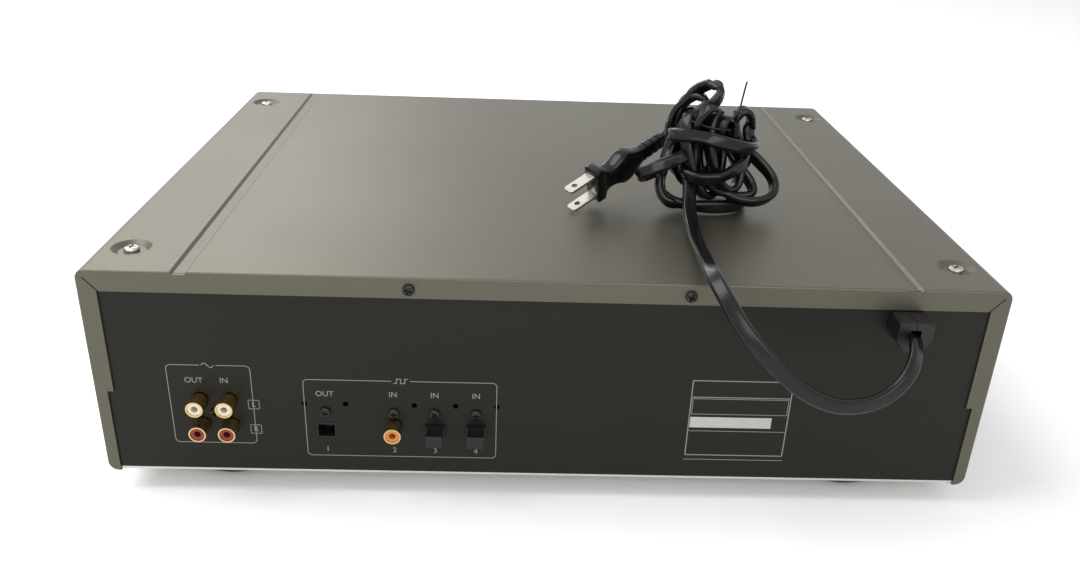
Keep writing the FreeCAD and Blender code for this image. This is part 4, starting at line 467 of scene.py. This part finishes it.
PLUG_FACE = (-24.8, 72.3, 135.2)
PLUG_TURN = (math.radians(-10.3), math.radians(20.7), math.radians(35.2))
PLUG_SIDES = 40
PLUG_CREASE = 50
# The moulding from its face back: place along its X, half height, half width and squareness
PLUG_SECTIONS = (
    (0, 5.0, 10.2, 6), (-0.4, 5.5, 10.8, 6), (-4.6, 5.5, 10.8, 6), (-5.2, 5.2, 10.2, 5), (-6.5, 4.9, 7.4, 4.5),
    (-9, 4.8, 6.4, 4), (-12, 4.9, 6.3, 4), (-15, 5.2, 7.0, 4), (-18.5, 5.5, 8.8, 4), (-20.5, 5.5, 9.6, 4),
    (-25, 5.4, 9.4, 3.6), (-28.5, 5.0, 7.6, 3.2), (-32, 4.5, 5.8, 2.8), (-35, 3.9, 4.9, 2.6),
)
# One rib of the relief and the neck behind it, written as the sections are
RIB_SECTIONS = ((0, 3.4, 4.5, 4), (-2.8, 3.4, 4.5, 4), (-2.9, 2.7, 3.9, 3), (-4.4, 2.7, 3.9, 3))
RELIEF_START = -35.0
RELIEF_LENGTH = 19.0
RELIEF_END = (2.5, 3.8, 3)
RIBS = 4
RIB_PITCH = 4.6
RIB_TAPER = 0.03


def oval(centre_x, half_y, half_z, power):
    """A rounded rectangular section of the plug, across its own X."""
    ring = []
    for index in range(PLUG_SIDES):
        turn = math.tau * index / PLUG_SIDES
        y = math.copysign(abs(math.cos(turn)) ** (2 / power), math.cos(turn)) * half_y
        z = math.copysign(abs(math.sin(turn)) ** (2 / power), math.sin(turn)) * half_z
        ring.append(Vector((centre_x, y, z)) * MM)
    return ring


def plug():
    """A moulded plug: a face plate, a waist with finger grips and a ribbed relief."""
    sections = list(PLUG_SECTIONS)
    for rib in range(RIBS):
        start = RELIEF_START - rib * RIB_PITCH
        taper = 1 - rib * RIB_TAPER
        sections += [(start + x, half_y * taper, half_z * taper, power) for x, half_y, half_z, power in RIB_SECTIONS]
    sections.append((RELIEF_START - RELIEF_LENGTH, *RELIEF_END))
    mesh = skin("plug", [oval(*section) for section in sections])
    sharpen(mesh, PLUG_CREASE)
    turn = Matrix.Identity(4)
    for angle, axis in zip(PLUG_TURN, "XYZ"):
        turn = Matrix.Rotation(angle, 4, axis) @ turn
    mesh.transform(Matrix.Translation(Vector(PLUG_FACE) * MM) @ turn)
    body = piece("plug_moulding", mesh, "cord_vinyl")
    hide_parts("plug_body")
    return body


# Twist tie

TIE_SIDES = 10
TIE_WIRE = 0.55
TIE_ROUTE = (
    (-97.0, 70.0, 167.0),
    (-99.5, 75.5, 172.0),
    (-100.5, 74.0, 184.0),
    (-102.0, 75.0, 195.0),
)
TIE_END_WIRE = 0.5
# The loop round the hank's neck: its middle, its radius, and how far its +X side is raised
LOOP_CENTRE = (-87.5, 66, 170.5)
LOOP_RADIUS = 13.5
LOOP_TILT = 2.2
LOOP_STEPS = 14
# The twisted ends: a coil's foot, radius, points, turn and rise from point to point, and wire
KNOT_FOOT = (-99.5, 74.5, 165.5)
KNOT_RADIUS = 1.5
KNOT_POINTS = 27
KNOT_TURN = 1.25
KNOT_RISE = 0.27
KNOT_WIRE = 0.6


def round_rings(points, radius):
    rings = []
    side = Vector((1, 0, 0))
    for index, point in enumerate(points):
        along = (points[min(index + 1, len(points) - 1)] - points[max(index - 1, 0)]).normalized()
        side = (side - along * side.dot(along)).normalized()
        up = along.cross(side)
        turns = [math.tau * step / TIE_SIDES for step in range(TIE_SIDES)]
        rings.append([point + (side * math.cos(turn) + up * math.sin(turn)) * radius for turn in turns])
    return rings


def twist_tie():
    """The wire round the hank's neck, its long end that stands up, and its twisted ends."""
    loop = []
    x, y, z = LOOP_CENTRE
    for step in range(LOOP_STEPS + 1):
        turn = math.tau * step / LOOP_STEPS
        across = math.cos(turn)
        loop.append((x - LOOP_RADIUS * across, y + LOOP_RADIUS * math.sin(turn), z - LOOP_TILT * across))
    knot = []
    x, y, z = KNOT_FOOT
    for step in range(KNOT_POINTS):
        turn = step * KNOT_TURN
        knot.append((x + KNOT_RADIUS * math.cos(turn), y + KNOT_RADIUS * math.sin(turn), z + step * KNOT_RISE))
    shaped = bmesh.new()
    for name, route, wire in (("tie_loop", loop, TIE_WIRE), ("tie_end", TIE_ROUTE, TIE_END_WIRE),
                              ("tie_knot", knot, KNOT_WIRE)):
        mesh = skin(name, round_rings(spline_points(name, route), wire * MM))
        shaped.from_mesh(mesh)
        bpy.data.meshes.remove(mesh)
    tie = piece("twist_tie", finished("twist_tie", shaped), "cord_vinyl")
    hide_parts("cord_tie")


# Screws

# Node, the axis its heads look along, their height and their finish
SCREW_HEADS = (
    ("cover_top_screws", 2, 2.3 * MM, "plated_screw"),
    ("cover_rear_screws", 1, 1.9 * MM, "black_steel"),
    ("jack_screws", 1, 1.9 * MM, "black_steel"),
)
HEAD_SIDES = 48
HEAD_CREASE = 30
# A head from its seat up, as shares of its radius and height
HEAD_PROFILE = ((0.999, 0.0), (1.0, 0.45), (0.93, 0.72), (0.78, 0.9), (0.55, 0.985))
# The cross recess: arm and half width as shares of the radius, floor and cutter's top as shares of the height
RECESS_ARM = 0.62
RECESS_HALF = 0.15
RECESS_FLOOR = 0.25
RECESS_TOP = 1.2
# Each head stops at an angle of its own
SPIN_START = 0.4
SPIN_PER_METRE = 37


def cross_head(name, radius, height, slot, centre, axis):
    """A pan head with a cross recess, its seat at the centre and its crown along the axis."""
    turns = [math.tau * step / HEAD_SIDES for step in range(HEAD_SIDES)]
    rings = [
        [Vector((math.cos(turn) * radius * share, math.sin(turn) * radius * share, height * level)) for turn in turns]
        for share, level in HEAD_PROFILE
    ]
    head = bpy.data.objects.new(name, skin(name, rings))
    bpy.context.collection.objects.link(head)
    arm = radius * RECESS_ARM
    half = radius * RECESS_HALF
    cross = [
        (x * math.cos(turn) - y * math.sin(turn), x * math.sin(turn) + y * math.cos(turn))
        for turn in (0, math.pi / 2, math.pi, 1.5 * math.pi) for x, y in ((arm, -half), (arm, half), (half, half))
    ]
    recess = [[Vector((x, y, height * level)) for x, y in cross] for level in (RECESS_FLOOR, RECESS_TOP)]
    cutter = bpy.data.objects.new("cutter", skin("cutter", recess))
    bpy.context.collection.objects.link(cutter)
    cut = head.modifiers.new("recess", "BOOLEAN")
    cut.operation = "DIFFERENCE"
    cut.object = cutter
    bpy.context.view_layer.update()
    shown = bpy.data.meshes.new_from_object(head.evaluated_get(bpy.context.evaluated_depsgraph_get()))
    bpy.data.objects.remove(head)
    bpy.data.objects.remove(cutter)
    sharpen(shown, HEAD_CREASE)
    turn = Vector((0, 0, 1)).rotation_difference(Vector(axis)).to_matrix().to_4x4()
    spin = Matrix.Rotation(SPIN_START + centre[0] * SPIN_PER_METRE, 4, "Z")
    shown.transform(Matrix.Translation(centre) @ turn @ spin)
    return piece(name, shown, slot)


def node_islands(node):
    """The boxes of a node's separate solids, in the order of their places."""
    shaped = bmesh.new()
    shaped.from_mesh(NODES[node].data)
    bmesh.ops.remove_doubles(shaped, verts=shaped.verts, dist=SAME_POINT)
    left = set(shaped.verts)
    boxes = []
    while left:
        grown = [left.pop()]
        found = []
        while grown:
            vert = grown.pop()
            found.append(vert.co.copy())
            for edge in vert.link_edges:
                other = edge.other_vert(vert)
                if other in left:
                    left.remove(other)
                    grown.append(other)
        low = Vector([min(co[axis] for co in found) for axis in range(3)])
        high = Vector([max(co[axis] for co in found) for axis in range(3)])
        boxes.append((low, high))
    shaped.free()
    return sorted(boxes, key=lambda box: [round(value, PLACE_DIGITS) for value in box[0]])


def screws():
    for node, axis, height, slot in SCREW_HEADS:
        way = [0, 0, 0]
        way[axis] = 1
        for number, (low, high) in enumerate(node_islands(node)):
            centre = (low + high) / 2
            centre[axis] = high[axis] - height
            radius = (high[0] - low[0]) / 2
            cross_head(f"{node}_head_{number + 1}", radius, height, slot, centre, way)
        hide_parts(node)


# Prints

PRINT_THICKNESS = 0.05 * MM
LINE = 0.35
# A font's size for letters one unit high
LETTER_SIZE = 1.38
# The least share that keeps a sharp corner's mitre short
MITRE_LEAST = 0.3
CORNER_POINTS = 7


class Print:
    """Thin printed lines and letters on a face that looks along +Y or -Y."""

    def __init__(self, name, plane, outward, slot):
        self.name = name
        self.near = plane
        self.far = plane + outward * PRINT_THICKNESS
        self.outward = outward
        self.slot = slot
        self.shaped = bmesh.new()

    def polygon(self, corners):
        near = [self.shaped.verts.new((x * MM, self.near, z * MM)) for x, z in corners]
        far = [self.shaped.verts.new((x * MM, self.far, z * MM)) for x, z in corners]
        self.shaped.faces.new(near)
        self.shaped.faces.new(far)
        for index in range(len(corners)):
            after = (index + 1) % len(corners)
            self.shaped.faces.new((near[index], near[after], far[after], far[index]))

    def bar(self, x_low, x_high, z_low, z_high):
        self.polygon([(x_low, z_low), (x_high, z_low), (x_high, z_high), (x_low, z_high)])

    def line(self, points, width=LINE, closed=False):
        """A line of even width through points, with mitred corners."""
        count = len(points)
        inner = []
        outer = []
        for index, point in enumerate(points):
            before = points[index - 1] if closed or index else point
            after = points[(index + 1) % count] if closed or index < count - 1 else point
            back = (Vector(point) - Vector(before)).normalized() if before != point else None
            ahead = (Vector(after) - Vector(point)).normalized() if after != point else None
            back = back or ahead
            ahead = ahead or back
            middle = (back + ahead).normalized()
            side = Vector((-middle.y, middle.x))
            reach = width / 2 / max(MITRE_LEAST, side.dot(Vector((-ahead.y, ahead.x))))
            inner.append(tuple(Vector(point) + side * reach))
            outer.append(tuple(Vector(point) - side * reach))
        last = count if closed else count - 1
        for index in range(last):
            after = (index + 1) % count
            self.polygon([inner[index], inner[after], outer[after], outer[index]])

    def rounded(self, x_low, x_high, z_low, z_high, radius, width, gap):
        """A frame with round corners; gap is an opening in its top line."""
        points = []
        for x, z, start in ((x_high - radius, z_high - radius, 90), (x_low + radius, z_high - radius, 0),
                            (x_low + radius, z_low + radius, -90), (x_high - radius, z_low + radius, -180)):
            points += ring_points(x, z, radius, start, start - 90, CORNER_POINTS)
        if gap is None:
            self.line(points, width, closed=True)
            return
        points = points[CORNER_POINTS:] + points[:CORNER_POINTS]
        self.line([(gap[0], z_high)] + points + [(gap[1], z_high)], width)

    def words(self, text, x, z, height):
        """Letters centred on a place."""
        data = bpy.data.curves.new("letters", "FONT")
        data.body = text
        data.size = height * MM * LETTER_SIZE
        data.align_x = "CENTER"
        data.align_y = "CENTER"
        data.extrude = PRINT_THICKNESS / 2
        mesh = mesh_of("letters", data)
        stand = Matrix.Rotation(math.pi / 2, 4, "X")
        face = Matrix.Rotation(math.pi if self.outward > 0 else 0, 4, "Z")
        centre = Vector((x * MM, (self.near + self.far) / 2, z * MM))
        mesh.transform(Matrix.Translation(centre) @ face @ stand)
        self.shaped.from_mesh(mesh)
        bpy.data.meshes.remove(mesh)

    def done(self, body=DECK):
        return piece(self.name, finished(self.name, self.shaped), self.slot, body, smooth=False)


def ring_points(x, z, radius, start, end, count):
    """Points on a circle, by their angles in degrees from straight up towards +X."""
    turns = [math.radians(start + (end - start) * step / (count - 1)) for step in range(count)]
    return [(x + radius * math.sin(turn), z + radius * math.cos(turn)) for turn in turns]


def disc_points(x, z, radius, count):
    return ring_points(x, z, radius, 0, 360 - 360 / count, count)


# Prints on the rear panel, with depths below the cover's top

# Low and high x, depths of the lower and the upper line, corner radius, line width and the gap on top
REAR_FRAMES = (
    (142.2, 182.0, 92.6, 48.8, 2.2, LINE, (158.2, 166.0)),
    (139.4, 144.6, 72.7, 67.8, 0.3, 0.3, None),
    (139.4, 144.6, 86.8, 81.9, 0.3, 0.3, None),
    (24.0, 117.5, 99.0, 55.5, 2.2, LINE, (66.0, 75.0)),
    (-120.5, -71.3, 94.7, 51.6, 0.3, 0.5, None),
    (-119.6, -72.2, 70.6, 61.8, 0.3, 0.3, None),
)
# Text, x, depth and letter height
REAR_WORDS = (
    ("OUT", 169.6, 57.2, 3.0), ("IN", 155.2, 57.2, 3.0), ("L", 142.0, 70.25, 2.9), ("R", 142.0, 84.35, 2.9),
    ("OUT", 107.5, 63.4, 3.0), ("IN", 74.4, 63.2, 3.0), ("IN", 54.2, 63.2, 3.0), ("IN", 34.0, 63.2, 3.0),
    ("1", 107.5, 95.3, 3.0), ("2", 74.4, 95.3, 3.0), ("3", 54.2, 95.3, 3.0), ("4", 34.0, 95.3, 3.0),
)
# Lines of the blank rating field: two ends' x, depth and line width
RATING_LINES = ((-71.3, -120.5, 60.9, 0.45), (-71.3, -120.5, 80.4, 0.3), (-70.6, -121.0, 97.4, 0.3))
RATING_STRIP = (-112.5, -71.9, 78.4, 72.3)
# The wave over the analog jacks
WAVE_START = 165.2
WAVE_LENGTH = 6
WAVE_DEPTH = 48.8
WAVE_HEIGHT = 1.2
WAVE_STEPS = 24
# The square wave over the digital jacks
PULSES = ((74.0, -1.2), (72.5, -1.2), (72.5, 1.2), (70.5, 1.2), (70.5, -1.2), (68.5, -1.2), (68.5, 1.2), (67.0, 1.2))
PULSES_DEPTH = 55.5
SIGN_LINE = 0.4


def rear_prints():
    top = TOP / MM
    grey = Print("rear_print", PANEL, 1, "panel_print")
    for x_low, x_high, low, high, radius, width, gap in REAR_FRAMES:
        grey.rounded(x_low, x_high, top - low, top - high, radius, width, gap)
    wave = []
    for step in range(WAVE_STEPS + 1):
        share = step / WAVE_STEPS
        wave.append((WAVE_START - WAVE_LENGTH * share, top - WAVE_DEPTH + WAVE_HEIGHT * math.sin(math.tau * share)))
    grey.line(wave, SIGN_LINE)
    grey.line([(x, top - PULSES_DEPTH + z) for x, z in PULSES], SIGN_LINE)
    for text, x, depth, height in REAR_WORDS:
        grey.words(text, x, top - depth, height)
    for x_start, x_end, depth, width in RATING_LINES:
        grey.line([(x_start, top - depth), (x_end, top - depth)], width)
    grey.done()
    pale = Print("rating_strip", PANEL, 1, "label_print")
    x_low, x_high, low, high = RATING_STRIP
    pale.bar(x_low, x_high, top - low, top - high)
    pale.done()


# Prints on the fascia and the knobs

SIGN_RISE = 7.2
# The sign over each button, as corners round its middle
BUTTON_SIGNS = (
    ("play_button", ((-1.3, -1.5), (1.6, 0), (-1.3, 1.5))),
    ("pause_button", ((-1.4, -1.4), (-0.5, -1.4), (-0.5, 1.4), (-1.4, 1.4))),
    ("pause_button", ((0.5, -1.4), (1.4, -1.4), (1.4, 1.4), (0.5, 1.4))),
    ("stop_button", ((-1.4, -1.4), (1.4, -1.4), (1.4, 1.4), (-1.4, 1.4))),
    ("record_button", disc_points(0, 0, 1.5, 24)),
    ("eject_button", ((-1.7, -0.4), (1.7, -0.4), (0, 1.6))),
    ("eject_button", ((-1.7, -1.4), (1.7, -1.4), (1.7, -0.8), (-1.7, -0.8))),
)
# Words over the power button: text, x from its middle, extra rise and letter height
POWER_WORDS = (("ON", -5, 2, 2.6), ("OFF", 5, 2, 2.6))
# The scales round the level knobs: half their turn and their marks, then the numbers and the dots
SCALE_TURN = 150
SCALE_MARKS = 11
NUMBERS_RADIUS = 16.2
NUMBER_HEIGHT = 2.0
DOTS_RADIUS = 10.6
DOT_RADIUS = 0.4
DOT_CORNERS = 12
# The line under the window: how far it stands out and below, and its width
WINDOW_LINE = (1.5, 1, 0.3)
# Each knob's pointer: the knob's radius, then the line's half width and its ends as shares of the radius
KNOB_RADII = (("record_level_knob", 13), ("phones_level_knob", 8), ("track_knob", 17))
POINTER_HALF = 0.4
POINTER_FROM = 0.55
POINTER_TO = 0.86


def node_centre(node):
    low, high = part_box(node)
    return (low + high) / 2 / MM


def front_prints():
    white = Print("front_print", FACE, -1, "panel_print")
    for node, corners in BUTTON_SIGNS:
        centre = node_centre(node)
        white.polygon([(centre.x + x, centre.z + SIGN_RISE + z) for x, z in corners])
    centre = node_centre("power_button")
    for text, x, rise, height in POWER_WORDS:
        white.words(text, centre.x + x, centre.z + SIGN_RISE + rise, height)
    centre = node_centre("record_level_knob")
    places = ring_points(centre.x, centre.z, NUMBERS_RADIUS, -SCALE_TURN, SCALE_TURN, SCALE_MARKS)
    for number, (x, z) in enumerate(places):
        white.words(str(number), x, z, NUMBER_HEIGHT)
    centre = node_centre("phones_level_knob")
    for x, z in ring_points(centre.x, centre.z, DOTS_RADIUS, -SCALE_TURN, SCALE_TURN, SCALE_MARKS):
        white.polygon(disc_points(x, z, DOT_RADIUS, DOT_CORNERS))
    low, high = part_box("display_window")
    beside, below, width = WINDOW_LINE
    white.line([(low.x / MM - beside, low.z / MM - below), (high.x / MM + beside, low.z / MM - below)], width)
    white.done()


def knob_pointers():
    for node, radius in KNOB_RADII:
        centre = node_centre(node)
        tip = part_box(node)[0].y
        mark = Print(f"{node}_mark", tip, -1, "panel_print")
        mark.bar(centre.x - POINTER_HALF, centre.x + POINTER_HALF,
                 centre.z + radius * POINTER_FROM, centre.z + radius * POINTER_TO)
        mark.done(node)


# Everything

camera()
FINISHES = {name: finish(name, **look) for name, look in LOOKS.items()}
surroundings()

for subpart in frame["record"]["subparts"]:
    data = NODES[subpart["node"]].data
    data.materials.clear()
    data.materials.append(FINISHES[subpart["material_slot"]])

cord, cord_path, cord_length = mains_cord()
moulding = plug()
twist_tie()
screws()
rear_prints()
front_prints()
knob_pointers()

bpy.context.scene.view_settings.view_transform = "Standard"
